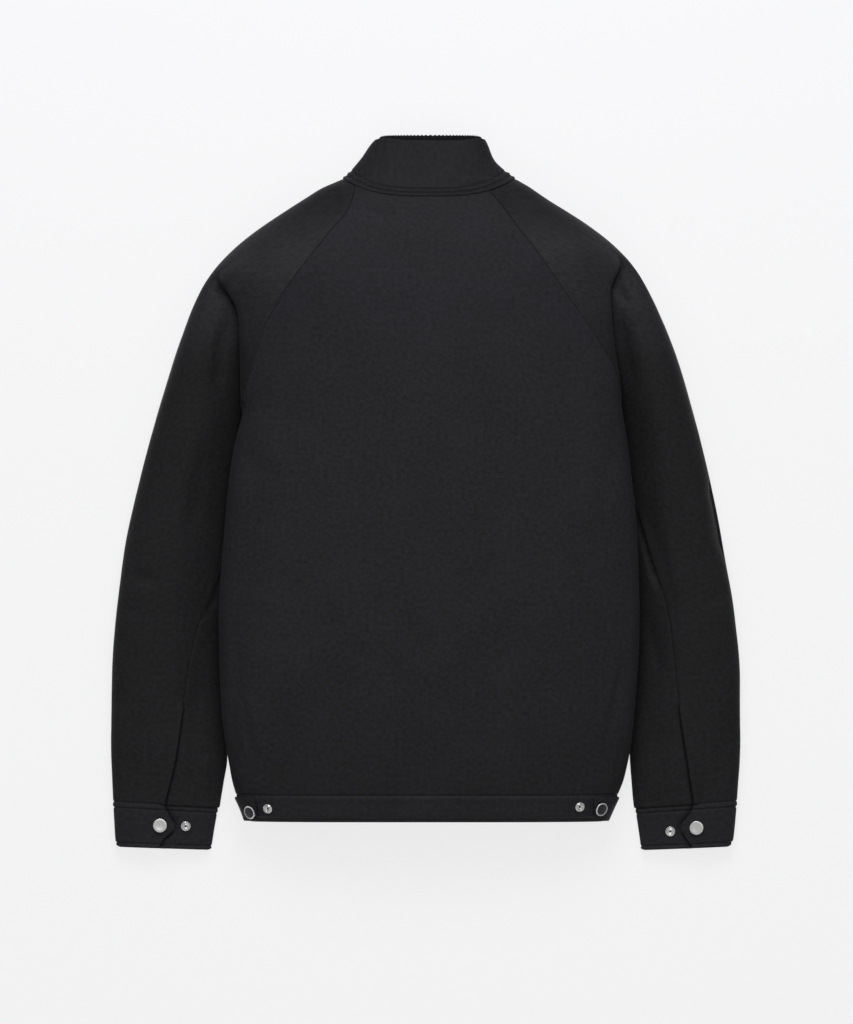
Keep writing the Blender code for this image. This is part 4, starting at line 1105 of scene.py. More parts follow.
def hemExtra(seed):
    # the hem band is a soft roll: puckered below its seam and turned under at its lower edge
    dip = bandStitchDip([hemCut["bottom"]])
    def extra(points, run, gaps, levels):
        under = hemRoll["under"] * np.clip(1 - gaps[2] / hemRoll["wide"], 0, 1) ** 2
        puff = hemRoll["puff"] * np.sin(math.pi * np.clip(gaps[3] / hemRoll["puffWide"], 0, 1)) ** 2
        onBack = ease(points[..., 2] / 12)
        return dip(points, run, gaps, levels) + (puff - under) * onBack + pucker(run, gaps, seed) * onBack
    return extra


stitch = {"pitch": 3.2, "length": 2.5, "wide": 0.5, "tall": 0.34, "dip": 0.9, "dipWide": 1.1,
          "ridge": 0.5, "ridgeWide": 1.7, "beside": 2.6}
puckers = {"at": 3.4, "wide": 2.6, "tall": 0.09}
hemRoll = {"under": 5.2, "wide": 8.0, "puff": 0.8, "puffWide": 9.0}
collarCut = {"rows": [3.3, 7.7], "cells": 250, "levels": 14}
cuffCut = {"top": 6.3, "bottom": 4.4, "seam": 3.0, "step": 2.2, "lap": 12, "tab": 16, "under": 36}
hemCut = {"bottom": 3.4, "step": 2.2, "beside": 4.0}
hemTabCut = {"edge": 2.4, "step": 1.2, "cells": 34, "under": 4.0, "levels": (-352.6, -327.0)}
rib = {"pitch": 2.8, "deep": 0.4, "tooth": 0.5, "samples": 6, "from": 0.33, "edge": np.array([0.6, 1.2])}


besideStitches = (-2.2, -1.5, -0.95, -0.45, 0, 0.45, 0.95, 1.5, 2.2)   # mm from a row of stitches


def withMarks(levels, places):
    # extra rows close around each row of stitches
    extra = [place + k for place in places for k in besideStitches]
    joined = np.array(sorted(set(np.round(np.concatenate([levels, extra]), 3))))
    keep = [joined[0]]
    for value in joined[1:]:
        if value - keep[-1] > 0.08:
            keep.append(value)
    return np.array(keep)


def makeBack():
    levels = levelsBetween(hemSeam + seamGap / 2, neckSide, bodyCut["step"], seamMarks, seamMarks)
    rows = [backRow(y) for y in levels]
    return sewnPiece("shell_back", rows, levels, 1, wall, ("seam",) * 4, topCreases["back"],
                     seed=1.0, even=14.0)


def makeFront(side):
    name = "front_" + sideName[side]
    levels = levelsBetween(hemSeam + seamGap / 2, neckSide, frontCut["step"], seamMarks, seamMarks)
    rows = [frontRow(side, y) for y in levels]
    return sewnPiece("shell_" + name, rows, levels, side, wall, ("seam", "fold", "seam", "seam"),
                     low=lowCreases[name], seed=2.0 + side, waves=0.7)


def makeUpperSleeve(side):
    name = "sleeve_" + sideName[side]
    levels = levelsBetween(cuffSeam + seamGap / 2, neckSide, sleeveCut["step"], seamMarks, seamMarks)
    rows = [upperSleeveRow(side, y) for y in levels]
    return sewnPiece("shell_" + name, rows, levels, side, wall, ("seam",) * 4, topCreases[name],
                     lowCreases[name], seed=5.0 + side, extra=upperExtra(side), even=9.0)


def makeUnderSleeve(side):
    name = "under_" + sideName[side]
    high = underarm - 4 - seamGap
    levels = levelsBetween(cuffSeam + seamGap / 2, high, underCut["step"], seamMarks, seamMarks)
    rows = [underSleeveRow(side, y) for y in levels]
    return sewnPiece("shell_" + name, rows, levels, side, wall, ("seam",) * 4, topCreases[name],
                     lowCreases[name], seed=8.0 + side, extra=underExtra(side))


def makeCuff(side):
    low, high = cuffBottom, cuffSeam - seamGap / 2
    levels = levelsBetween(low, high, cuffCut["step"], foldMarks, seamMarks)
    levels = withMarks(levels, [low + cuffCut["bottom"], high - cuffCut["top"]])
    rows = [cuffRow(side, y) for y in levels]
    dip = bandStitchDip([cuffCut["bottom"]], 2)
    dipTop = bandStitchDip([cuffCut["top"]], 3)
    return sewnPiece("shell_cuff_" + sideName[side], rows, levels, -side, bandWall,
                     ("seam", "fold", "fold", "seam"), seed=11.0 + side, waves=0.5,
                     extra=lambda *a: dip(*a) + dipTop(*a))


def makeCollar():
    levels = marked(0, sideHigh, collarCut["levels"], 0.0, seamMarks, foldMarks)
    levels = withMarks(levels, collarCut["rows"])
    rows = [collarLine(rise, collarCut["cells"], dip=collarDip["deep"]) for rise in levels]
    return sewnPiece("shell_collar", rows, levels, 1, bandWall, ("fold", "fold", "seam", "fold"),
                     seed=14.0, waves=0.5, extra=bandStitchDip(collarCut["rows"], 2))


def makeFacing():
    # ribbed facing inside the collar, its toothed edge standing a little above it
    levels = np.concatenate([np.linspace(sideHigh * rib["from"], sideHigh, 10), sideHigh + rib["edge"]])
    ribs = int(collarLine(sideHigh, 40)[1][-1] / rib["pitch"])
    cells = ribs * rib["samples"]
    rows = [collarLine(min(rise, sideHigh), cells, max(0.0, rise - sideHigh)) for rise in levels]
    wave = np.cos(np.linspace(0, 2 * math.pi * ribs, cells + 1))
    rows[-1][0][:, 1] += rib["tooth"] * wave
    return sewnPiece("rib_facing", rows, levels, 1, facingWall, ("fold",) * 4,
                     lift=-(bandWall + 3 * layerGap), seed=15.0, waves=0.0,
                     extra=lambda points, run, gaps, levels: np.broadcast_to(rib["deep"] * wave, run.shape))


def hemLevels():
    low, high = hemBottom, hemSeam - seamGap / 2
    levels = levelsBetween(low, high, hemCut["step"], foldMarks, seamMarks)
    return withMarks(levels, [low + hemCut["bottom"]])


def makeHemBack():
    levels = hemLevels()
    return sewnPiece("shell_hem_back", [backRow(y) for y in levels], levels, 1, bandWall,
                     ("seam", "seam", "fold", "seam"), seed=17.0, waves=0.6, extra=hemExtra(1.0))


def makeHemFront(side):
    levels = hemLevels()
    rows = [frontRow(side, y) for y in levels]
    return sewnPiece("shell_hem_" + sideName[side], rows, levels, side, bandWall,
                     ("seam", "fold", "fold", "seam"), seed=18.0 + side, waves=0.3,
                     extra=hemExtra(3.0 + side))


def makeHemTab(side):
    levels = levelsBetween(*hemTabCut["levels"], hemTabCut["step"], foldMarks, foldMarks)
    rows = [hemTabRow(side, y) for y in levels]
    return sewnPiece("shell_hem_tab_" + sideName[side], rows, levels, side, tabWall, ("fold",) * 4,
                     lift=tabWall + 2 * layerGap, seed=21.0 + side, waves=0.1)


# topstitching: one small thread mesh, repeated along lines on the cloth
def lineAcross(name, place, fromTop=False, low=0.0, high=1e9):
    # points at one distance above the piece's lower border, or below its upper one
    piece = clothPieces[name]
    levels = piece["levels"]
    level = levels[-1] - place if fromTop else levels[0] + place
    j = int(np.clip(np.searchsorted(levels, level) - 1, 0, len(levels) - 2))
    w = (level - levels[j]) / (levels[j + 1] - levels[j])
    rows = [piece[key][j] * (1 - w) + piece[key][j + 1] * w for key in ("points", "out", "run")]
    run = np.abs(rows[2] - rows[2][0])
    keep = (run >= low) & (run <= min(high, run[-1] - low))
    return rows[0][keep], rows[1][keep]


def lineAlong(name, place, fromEnd=False, low=-1e9, high=1e9):
    # points at one distance from the piece's left or right border, over some levels
    piece = clothPieces[name]
    found, outs = [], []
    for points, out, run, level in zip(piece["points"], piece["out"], piece["run"], piece["levels"]):
        if not low <= level <= high:
            continue
        along = np.abs(run - run[0])
        at = along[-1] - place if fromEnd else place
        found.append([np.interp(at, along, points[:, k]) for k in range(3)])
        outs.append([np.interp(at, along, out[:, k]) for k in range(3)])
    return np.array(found), np.array(outs)


def threadShape():
    # one stitch: a short rounded float of thread, tucked in at both ends
    rings = [(-0.5, 0.25, -0.6), (-0.36, 0.85, 0.35), (0.0, 1.0, 0.62), (0.36, 0.85, 0.35),
             (0.5, 0.25, -0.6)]   # place, thickness and height
    points, faces = [], []
    for along, size, high in rings:
        for k in range(6):
            angle = 2 * math.pi * k / 6
            points.append((along, 0.5 * size * math.cos(angle), high + 0.5 * size * math.sin(angle)))
    for r in range(len(rings) - 1):
        for k in range(6):
            a, b = r * 6 + k, r * 6 + (k + 1) % 6
            faces.append((a, a + 6, b + 6, b))
    faces.append(tuple(range(6)))
    faces.append(tuple(range(len(points) - 1, len(points) - 7, -1)))
    return np.array(points), faces


def sewLines(name, lines):
    # every stitch of some lines in one mesh that rides with its cloth
    shape, shapeFaces = threadShape()
    vertices, faces = [], []
    for points, outs in lines:
        run = lengthsAlong(points)
        for k in range(int(run[-1] / stitch["pitch"])):
            s = (k + 0.5) * stitch["pitch"]
            ends = [np.array([np.interp(v, run, points[:, c]) for c in range(3)])
                    for v in (s - stitch["length"] / 2, s, s + stitch["length"] / 2)]
            out = np.array([np.interp(s, run, outs[:, c]) for c in range(3)])
            way = ends[2] - ends[0]
            size = np.linalg.norm(way)
            if size < 0.5:
                continue
            way /= size
            out -= way * (out @ way)
            out /= np.linalg.norm(out)
            wide = np.cross(out, way)
            base = len(vertices) * len(shape)
            local = (shape[:, :1] * stitch["length"] * way + shape[:, 1:2] * stitch["wide"] * wide
                     + shape[:, 2:3] * stitch["tall"] * out)
            vertices.append(ends[1] + local)
            faces += [tuple(base + v for v in face) for face in shapeFaces]
    print("%s: %d stitches" % (name, len(vertices)))
    placed = np.concatenate(vertices)
    placed[:, 2] = np.maximum(placed[:, 2], 0.0)
    return newPiece(name, placed, faces)


def bartack(name, side, x, y, turn, tall=8.0, wide=2.0, count=12):
    # a close row of stitches across the end of the vent
    surface = functools.partial(sleeveTop, side)
    shape, shapeFaces = threadShape()
    vertices, faces = [], []
    for k in range(count):
        t = (k / (count - 1) - 0.5) * tall
        place = seat(surface, x - t * math.sin(turn), y + t * math.cos(turn), 0.4)
        spin = place @ Matrix.Rotation(turn, 4, "Z")
        base = len(vertices)
        vertices += [spin @ Vector((a * wide, b * 0.6, c * 0.45)) for a, b, c in shape]
        faces += [tuple(base + v for v in face) for face in shapeFaces]
    return newPiece(name, np.array(vertices), faces)


# materials
def linear(code):
    # sRGB hex to linear RGB
    values = [int(code[k:k + 2], 16) / 255 for k in (1, 3, 5)]
    return tuple(v / 12.92 if v <= 0.04045 else ((v + 0.055) / 1.055) ** 2.4 for v in values)


def link(tree, node, links):
    for key, source in links.items():
        tree.links.new(source, node.inputs[key])


def addNode(tree, kind, settings=None, inputs=None, links=None, stops=()):
    # a node with its settings, values and links, and the places and colours of a ramp's stops
    node = tree.nodes.new(kind)
    for key, value in (settings or {}).items():
        setattr(node, key, value)
    for key, value in (inputs or {}).items():
        node.inputs[key].default_value = value
    link(tree, node, links or {})
    if stops:
        marks = node.color_ramp.elements
        while len(marks) < len(stops):
            marks.new(0.5)
        for mark, (place, colour) in zip(marks, stops):
            mark.position = place
            mark.color = (*linear(colour), 1)
    return node


def newMaterial(name, values):
    made = bpy.data.materials.new(name)
    made.use_nodes = True
    shader = made.node_tree.nodes["Principled BSDF"]
    for key, value in values.items():
        shader.inputs[key].default_value = value
    return made, made.node_tree, shader


def clothMaterial(name, look):
    # brushed polyester face over a bonded backing: matt, finely flecked, with a soft edge sheen
    made, tree, shader = newMaterial(name, {
        "Roughness": look["rough"], "Specular IOR Level": look["gloss"], "Sheen Weight": look["sheen"],
        "Sheen Roughness": look["sheenRough"], "Sheen Tint": (*linear(look["sheenColour"]), 1)})
    place = addNode(tree, "ShaderNodeTexCoord")
    turned = addNode(tree, "ShaderNodeMapping", links={"Vector": place.outputs["UV"]},
                     inputs={"Scale": (1.0, look["grain"], 1.0)})
    fleck = addNode(tree, "ShaderNodeTexNoise", links={"Vector": turned.outputs["Vector"]},
                    inputs={"Scale": 1 / look["fleck"], "Detail": 2.0, "Roughness": 0.5})
    cloud = addNode(tree, "ShaderNodeTexNoise", inputs={"Scale": 1 / look["cloud"], "Detail": 2.0},
                    links={"Vector": place.outputs["Object"]})
    warpBands, weftBands = [
        addNode(tree, "ShaderNodeTexWave", {"wave_type": "BANDS", "bands_direction": way},
                {"Scale": waveUnit / look["thread"], "Distortion": 1.5, "Detail": 1.0, "Detail Scale": 2.0},
                {"Vector": place.outputs["UV"]}) for way in "XY"]
    both = addNode(tree, "ShaderNodeMath", {"operation": "MULTIPLY"},
                   links={0: warpBands.outputs["Fac"], 1: weftBands.outputs["Fac"]})
    mixed = addNode(tree, "ShaderNodeMath", {"operation": "MULTIPLY_ADD"}, {1: look["fleckHigh"]},
                    {0: fleck.outputs["Fac"], 2: both.outputs["Value"]})
    shade = addNode(tree, "ShaderNodeMath", {"operation": "MULTIPLY_ADD"}, {1: look["cloudShare"]},
                    {0: cloud.outputs["Fac"], 2: fleck.outputs["Fac"]})
    ramp = addNode(tree, "ShaderNodeValToRGB", links={"Fac": shade.outputs["Value"]},
                   stops=[(look["darkAt"], look["dark"]), (look["lightAt"], look["light"])])
    bump = addNode(tree, "ShaderNodeBump", inputs={"Strength": look["bump"], "Distance": 0.0003},
                   links={"Height": mixed.outputs["Value"]})
    # painted light and shade: the colour is made lighter or darker along the jacket, from hem to collar, for
    # how the light falls on it
    parts = addNode(tree, "ShaderNodeSeparateXYZ", links={"Vector": place.outputs["Object"]})
    along = addNode(tree, "ShaderNodeMapRange", inputs={"From Min": -paintedLightReach, "From Max": paintedLightReach},
                    links={"Value": parts.outputs["Y"]})
    paintedLight = addNode(tree, "ShaderNodeValToRGB", links={"Fac": along.outputs["Result"]},
                  stops=[(0.5 + 0.5 * level / paintedLightReach, colour) for level, colour in look["paintedLight"]])
    paintedLight.color_ramp.interpolation = "EASE"
    withPaintedLight = addNode(tree, "ShaderNodeVectorMath", {"operation": "MULTIPLY"},
                     links={0: ramp.outputs["Color"], 1: paintedLight.outputs["Color"]})
    doubled = addNode(tree, "ShaderNodeVectorMath", {"operation": "SCALE"}, {"Scale": 2.0},
                      {0: withPaintedLight.outputs["Vector"]})
    link(tree, shader, {"Base Color": doubled.outputs["Vector"], "Normal": bump.outputs["Normal"]})
    return made


waveUnit = 0.314       # metres from band to band of a wave texture whose scale is 1
paintedLightReach = 0.4         # half of the jacket's length, m
# paintedLight: place along the jacket in m and tint of painted light and shade, #bcbcbc leaving the colour as
# it is
softshell = {
    "dark": "#19191a", "light": "#252528", "darkAt": 0.36, "lightAt": 0.86, "rough": 0.62, "gloss": 0.1,
    "sheen": 0.045, "sheenRough": 0.45, "sheenColour": "#c8c8d0",
    "grain": 1.1, "fleck": 0.0046, "fleckHigh": 0.45, "cloud": 0.05, "cloudShare": 0.32,
    "thread": 0.0011, "bump": 0.2,
    # painted shade toward the hem and more of it by the collar, lighter over the upper back
    "paintedLight": [(-0.36, "#bcbcbb"), (-0.15, "#c2c2c1"), (0.05, "#c3c3c4"), (0.22, "#bdbcc4"), (0.29, "#bab9c1"),
            (0.345, "#a5a4aa")],
}
# the sleeves' colours are painted a little darker than the back's, as painted shade, and their ramp paints a
# highlight over the shoulders and shade by the neck and over the upper arm
sleeveCloth = dict(softshell, dark="#161617", light="#212123", paintedLight=[
    (-0.36, "#c6c6c6"), (-0.1, "#bebebe"), (0.12, "#b4b4b4"), (0.255, "#e6e6ea"), (0.32, "#acacb0")])
bandCloth = dict(softshell, dark="#1b1b1c", light="#262629", paintedLight=[(-0.4, "#c4c4c4"), (0.4, "#c4c4c4")])
# the rib knit is coloured darker than the shell: its own dark knit, and painted shade of the collar's inside
ribKnit = dict(softshell, dark="#0a0a0b", light="#131315", gloss=0.1, grain=0.3, thread=0.0009, bump=0.6)
tapeWeave = dict(softshell, dark="#0f0f11", light="#1b1b1e", thread=0.0008, bump=0.7)


def threadMaterial():
    # twisted polyester sewing thread: a little glossier than the cloth
    made, tree, shader = newMaterial("polyester_thread_twisted", {
        "Roughness": 0.55, "Specular IOR Level": 0.3, "Sheen Weight": 0.1, "Sheen Roughness": 0.4})
    place = addNode(tree, "ShaderNodeTexCoord")
    twist = addNode(tree, "ShaderNodeTexWave", {"wave_type": "BANDS", "bands_direction": "DIAGONAL"},
                    {"Scale": 900.0, "Distortion": 0.5}, {"Vector": place.outputs["Object"]})
    ramp = addNode(tree, "ShaderNodeValToRGB", links={"Fac": twist.outputs["Fac"]},
                   stops=[(0.0, "#0c0c0e"), (1.0, "#161618")])
    bump = addNode(tree, "ShaderNodeBump", inputs={"Strength": 0.4, "Distance": 0.0001},
                   links={"Height": twist.outputs["Fac"]})
    link(tree, shader, {"Base Color": ramp.outputs["Color"], "Normal": bump.outputs["Normal"]})
    return made


def metalMaterial(name, look):
    # plated metal: smooth with fine polishing marks and a few dull spots
    made, tree, shader = newMaterial(name, {"Metallic": 1.0})
    place = addNode(tree, "ShaderNodeTexCoord")
    marks = addNode(tree, "ShaderNodeTexNoise", links={"Vector": place.outputs["Object"]},
                    inputs={"Scale": look["marks"], "Detail": 4.0, "Roughness": 0.7})
    rough = addNode(tree, "ShaderNodeMapRange", links={"Value": marks.outputs["Fac"]},
                    inputs={"To Min": look["roughLow"], "To Max": look["roughHigh"]})
    ramp = addNode(tree, "ShaderNodeValToRGB", links={"Fac": marks.outputs["Fac"]},
                   stops=[(0.0, look["dark"]), (1.0, look["light"])])
    bump = addNode(tree, "ShaderNodeBump", inputs={"Strength": look["bump"], "Distance": 0.00005},
                   links={"Height": marks.outputs["Fac"]})
    link(tree, shader, {"Base Color": ramp.outputs["Color"], "Roughness": rough.outputs["Result"],
                        "Normal": bump.outputs["Normal"]})
    return made


nickelLook = {"dark": "#d4d4d4", "light": "#f2f2f0", "roughLow": 0.16, "roughHigh": 0.26,
              "marks": 500.0, "bump": 0.04}
# black nickel of the zip, also used as painted shade in the studs' holes and a painted reflection on the hem
# caps
blackNickelAndPaintedShade = {"dark": "#2c2c2f", "light": "#5a5a5e", "roughLow": 0.25, "roughHigh": 0.45,
               "marks": 700.0, "bump": 0.2}


# hardware, modelled and set on its seat
def deselectAll():
    if bpy.context.object and bpy.context.object.mode != "OBJECT":
        bpy.ops.object.mode_set(mode="OBJECT")
    bpy.ops.object.select_all(action="DESELECT")


def pickFaces(mesh, test):
    bpy.ops.mesh.select_mode(type="FACE")
    bpy.ops.mesh.select_all(action="DESELECT")
    work = bmesh.from_edit_mesh(mesh)
    for face in work.faces:
        if test(face):
            face.select_set(True)
    work.select_flush(True)
    bmesh.update_edit_mesh(mesh)


def insetTop(mesh, test, steps):
    # picked faces are inset step by step, each by a width and a height
    pickFaces(mesh, test)
    for wide, high in steps:
        bpy.ops.mesh.inset(thickness=wide, depth=high)


def addBevel(thing, width, segments, degrees=30):
    bevel = thing.modifiers.new("rounded", "BEVEL")
    bevel.width = width
    bevel.segments = segments
    bevel.limit_method = "ANGLE"
    bevel.angle_limit = math.radians(degrees)


def applyAll(thing):
    bpy.context.view_layer.objects.active = thing
    for modifier in list(thing.modifiers):
        bpy.ops.object.modifier_apply(modifier=modifier.name)


def settle(thing, matrix):
    # the finished mesh is put in its place, and its object stays at the origin
    thing.data.transform(matrix)
    thing.location = (0, 0, 0)
    thing.rotation_euler = (0, 0, 0)
    thing.scale = (1, 1, 1)
    deselectAll()


def seatMatrix(surface, x, y, lift):
    return toFrame @ seat(surface, x, y, lift)


# what is inset from the top and from beneath, as width and height in mm
cap = {"turns": 48, "radius": capRadius, "height": capHeight, "bevel": (0.55, 3, 50),
       "top": [(0.25, 0.0), (0.9, -0.25), (2.2, 0.21), (2.2, 0.14)],
       "beneath": [(1.4, 0.0), (2.0, -0.6)], "inner": capRadius - 1.5}
stud = {"turns": 40, "radius": studRadius, "height": studHeight * 0.6, "bevel": (0.14, 2, 40),
        "top": [(0.7, 0.0), (0.5, 0.8), (0.8, 0.0), (0.35, -1.1), (0.5, 0.0), (0.25, 0.5), (0.35, 0.0),
                (0.12, -1.0)],
        "beneath": [], "inner": 0.95}


def makeSnapPart(name, look, matrix):
    # pressed cap with a rolled rim and a shallow dished face, or ring socket with an open middle
    deselectAll()
    bpy.ops.mesh.primitive_cylinder_add(vertices=look["turns"], radius=look["radius"], depth=look["height"],
                                        location=(0, 0, look["height"] / 2))
    thing = bpy.context.object
    thing.name = name
    bpy.ops.object.transform_apply(location=True, rotation=True, scale=True)
    bpy.ops.object.mode_set(mode="EDIT")
    insetTop(thing.data, lambda face: face.normal.z > 0.9, look["top"])
    if look["beneath"]:
        insetTop(thing.data, lambda face: face.normal.z < -0.9, look["beneath"])
    bpy.ops.object.mode_set(mode="OBJECT")
    addBevel(thing, *look["bevel"])
    smooth = thing.modifiers.new("smooth", "SUBSURF")
    smooth.levels = 1
    smooth.render_levels = 1
    applyAll(thing)
    bpy.ops.object.shade_smooth()
    # faces of a cap's dished face or a stud's hole, which addSnap may give painted shade
    inner = []
    for face in thing.data.polygons:
        upward = face.normal.z if look["beneath"] else abs(face.normal.z)
        if math.hypot(face.center.x, face.center.y) < look["inner"] and upward > 0.3:
            inner.append(face.index)
    settle(thing, matrix)
    return thing, inner


teeth = {"pitch": 2.5, "long": 1.35, "reach": 3.1, "tall": 2.2, "low": 6.2, "head": 1.75, "end": 4.0}


def makeTooth():
    # one moulded tooth: a stem with a wider head
    deselectAll()
    bpy.ops.mesh.primitive_cube_add(size=1.0, location=(0, 0, 0))
    thing = bpy.context.object
    thing.scale = (teeth["reach"] * 0.6, teeth["long"] * 0.7, teeth["tall"])
    bpy.ops.object.transform_apply(location=True, rotation=True, scale=True)
    bpy.ops.object.mode_set(mode="EDIT")
    pickFaces(thing.data, lambda face: face.normal.x > 0.9)
    for sizes in ((1, teeth["head"] / (teeth["long"] * 0.7), 1), (1, 0.75, 0.8)):
        bpy.ops.mesh.extrude_region_move(TRANSFORM_OT_translate={"value": (teeth["reach"] * 0.2, 0, 0)})
        bpy.ops.transform.resize(value=sizes)
    bpy.ops.object.mode_set(mode="OBJECT")
    addBevel(thing, 0.14, 1)
    applyAll(thing)
    mesh = thing.data
    points = np.array([v.co[:] for v in mesh.vertices])
    faces = [tuple(f.vertices) for f in mesh.polygons]
    bpy.data.objects.remove(thing)
    bpy.data.meshes.remove(mesh)
    deselectAll()
    return points, faces


def makeTeeth():
    # the tooth is repeated down both tapes, meshed with its neighbours across
    points, faces = makeTooth()
    low = hemBottom + teeth["end"]
    count = int((zipTop - teeth["end"] - low) / teeth["pitch"])
    vertices, allFaces = [], []
    for k in range(count):
        for side in (-1, 1):
            y = low + (k + (0.5 if side > 0 else 0)) * teeth["pitch"]
            base = len(vertices) * len(points)
            x = zipX + side * (teeth["reach"] * 0.72 - 0.9)
            vertices.append(points * (-side, 1, 1) + (x, y, teeth["low"] + teeth["tall"] / 2 + 0.1))
            order = 1 if side < 0 else -1
            allFaces += [tuple(base + v for v in face)[::order] for face in faces]
    thing = newPiece("zip_teeth", np.concatenate(vertices), allFaces)
    thing.data.set_sharp_from_angle(angle=math.radians(35))
    return thing


def makeTape(side):
    # woven tape, rippled a little beyond the teeth
    low = channelDepth + bandWall + layerGap
    near = zipX + side * (chainWidth / 2 - 0.6)
    far = zipX + side * (chainWidth / 2 + tapeWidth)
    across = np.concatenate([np.linspace(0, 1.8, 9), np.linspace(2.4, abs(far - near), 14)])
    levels = np.linspace(hemBottom + 1, zipTop, 240)
    ripple = 0.12 * ease((across - 4) / 6)
    rows = [(lineAt(near + side * across, y, low + tapeThick * 0.45 + ripple * math.sin(y / 5.5)), across)
            for y in levels]
    return sewnPiece("tape_" + sideName[side], rows, levels, -side, tapeThick * 0.7, ("fold",) * 4,
                     waves=0.0, seed=30.0 + side)


def blockBy(name, low, high):
    deselectAll()
    bpy.ops.mesh.primitive_cube_add(size=1.0, location=[(a + b) / 2 for a, b in zip(low, high)])
    thing = bpy.context.object
    thing.name = name
    thing.scale = [b - a for a, b in zip(low, high)]
    bpy.ops.object.transform_apply(location=True, rotation=True, scale=True)
    return thing


slider = {"long": 12.0, "wide": 9.0, "high": 6.0, "plate": 1.2, "gap": 0.4, "post": 2.4, "postWide": 2.4,
          "postHigh": 8.3, "bridge": 7.0, "bridgeWall": 1.0, "bridgeWide": 1.8}
pull = {"pin": 0.5, "wide": 6.4, "arm": 1.5, "armLong": 7.0, "long": 27.0, "thick": 1.0}


def hingePoint():
    plateLow = slider["high"] - slider["gap"] - slider["plate"]
    return zipX, zipTop - slider["long"] * 0.45, plateLow - layerGap - pull["pin"]


def joinBlocks(name, blocks, bevelWide):
    # blocks welded into one casting with rounded edges
    first = blockBy(name, *blocks[0])
    for low, high in blocks[1:]:
        other = blockBy(name + "_part", low, high)
        union = first.modifiers.new("weld", "BOOLEAN")
        union.operation = "UNION"
        union.solver = "EXACT"
        union.object = other
        bpy.context.view_layer.objects.active = first
        bpy.ops.object.modifier_apply(modifier="weld")
        bpy.data.objects.remove(other)
    addBevel(first, bevelWide, 3)
    applyAll(first)
    first.data.shade_smooth()
    first.data.set_sharp_from_angle(angle=math.radians(40))
    settle(first, toFrame)
    return first


def makeSlider():
    x, y, z = hingePoint()
    plateHigh = slider["high"] - slider["gap"]
    plateLow = plateHigh - slider["plate"]
    half, w = slider["wide"] / 2, slider["bridgeWide"] / 2
    bridgeLow = z - pull["pin"] - layerGap
    near, rear = y - slider["bridge"] / 2, y + slider["bridge"] / 2
    b = slider["bridgeWall"]
    p = slider["postWide"] / 2
    blocks = [
        ((x - half, zipTop - slider["long"], plateLow), (x + half, zipTop, plateHigh)),
        ((x - p, zipTop - slider["post"], plateHigh - 0.2), (x + p, zipTop - 0.4, slider["postHigh"])),
        ((x - w, near, bridgeLow - b), (x + w, near + b, plateLow + 0.2)),
        ((x - w, rear - b, bridgeLow - b), (x + w, rear, plateLow + 0.2)),
        ((x - w, near + 0.1, bridgeLow - b), (x + w, rear - 0.1, bridgeLow)),
    ]
    return joinBlocks("slider_body", blocks, 0.22)


def makePull():
    x, y, z = hingePoint()
    half, thick = pull["wide"] / 2, pull["thick"] / 2
    armEnd = y - pull["armLong"]
    a = pull["arm"]
    blocks = [
        ((x - half, y - pull["pin"], z - pull["pin"]), (x + half, y + pull["pin"], z + pull["pin"])),
        ((x - half, armEnd, z - thick), (x - half + a, y, z + thick)),
        ((x + half - a, armEnd, z - thick), (x + half, y, z + thick)),
        ((x - half, y - pull["long"], z - thick), (x + half, armEnd + 0.5, z + thick)),
    ]
    return joinBlocks("pull_tab", blocks, 0.2)


# putting the jacket together
def dress(thing, finish, *nodes, slotName="shell_cloth", body="jacket"):
    # a piece gets its finish, rides on its body and stands for its CAD nodes
    thing.data.materials.clear()
    thing.data.materials.append(finishes[finish])
    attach(thing, body)
    if nodes:
        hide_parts(*nodes)
    return thing


def sewOn(name, *lines):
    return dress(sewLines(name, lines), "thread")


def addSnap(look, node, surface, place, lift, paintShade=True):
    # a stud's hole gets painted shade, a dark dot, and the dished face of a cap on the hem, turned to the
    # side, gets a painted dark reflection of the room
    thing, inner = makeSnapPart("snap_" + node, look, seatMatrix(surface, *place, lift))
    dress(thing, "nickel", node, slotName="nickel")
    if paintShade:
        thing.data.materials.append(finishes["dark_metal"])
        for index in inner:
            thing.data.polygons[index].material_index = 1


finishes = {
    "shell_cloth": clothMaterial("polyester_softshell_brushed", softshell),
    "sleeve_cloth": clothMaterial("polyester_softshell_sleeve_painted_shade", sleeveCloth),
    "band_cloth": clothMaterial("polyester_softshell_doubled", bandCloth),
    "rib_knit": clothMaterial("cotton_rib_knit", ribKnit),
    "zip_tape": clothMaterial("polyester_zip_tape_woven", tapeWeave),
    "thread": threadMaterial(),
    "nickel": metalMaterial("brass_nickel_plated_polished", nickelLook),
    # black nickel of the zip, and painted shade and painted reflection on the snaps
    "dark_metal": metalMaterial("zinc_black_nickel_and_painted_shade", blackNickelAndPaintedShade),
}
print("materials made")

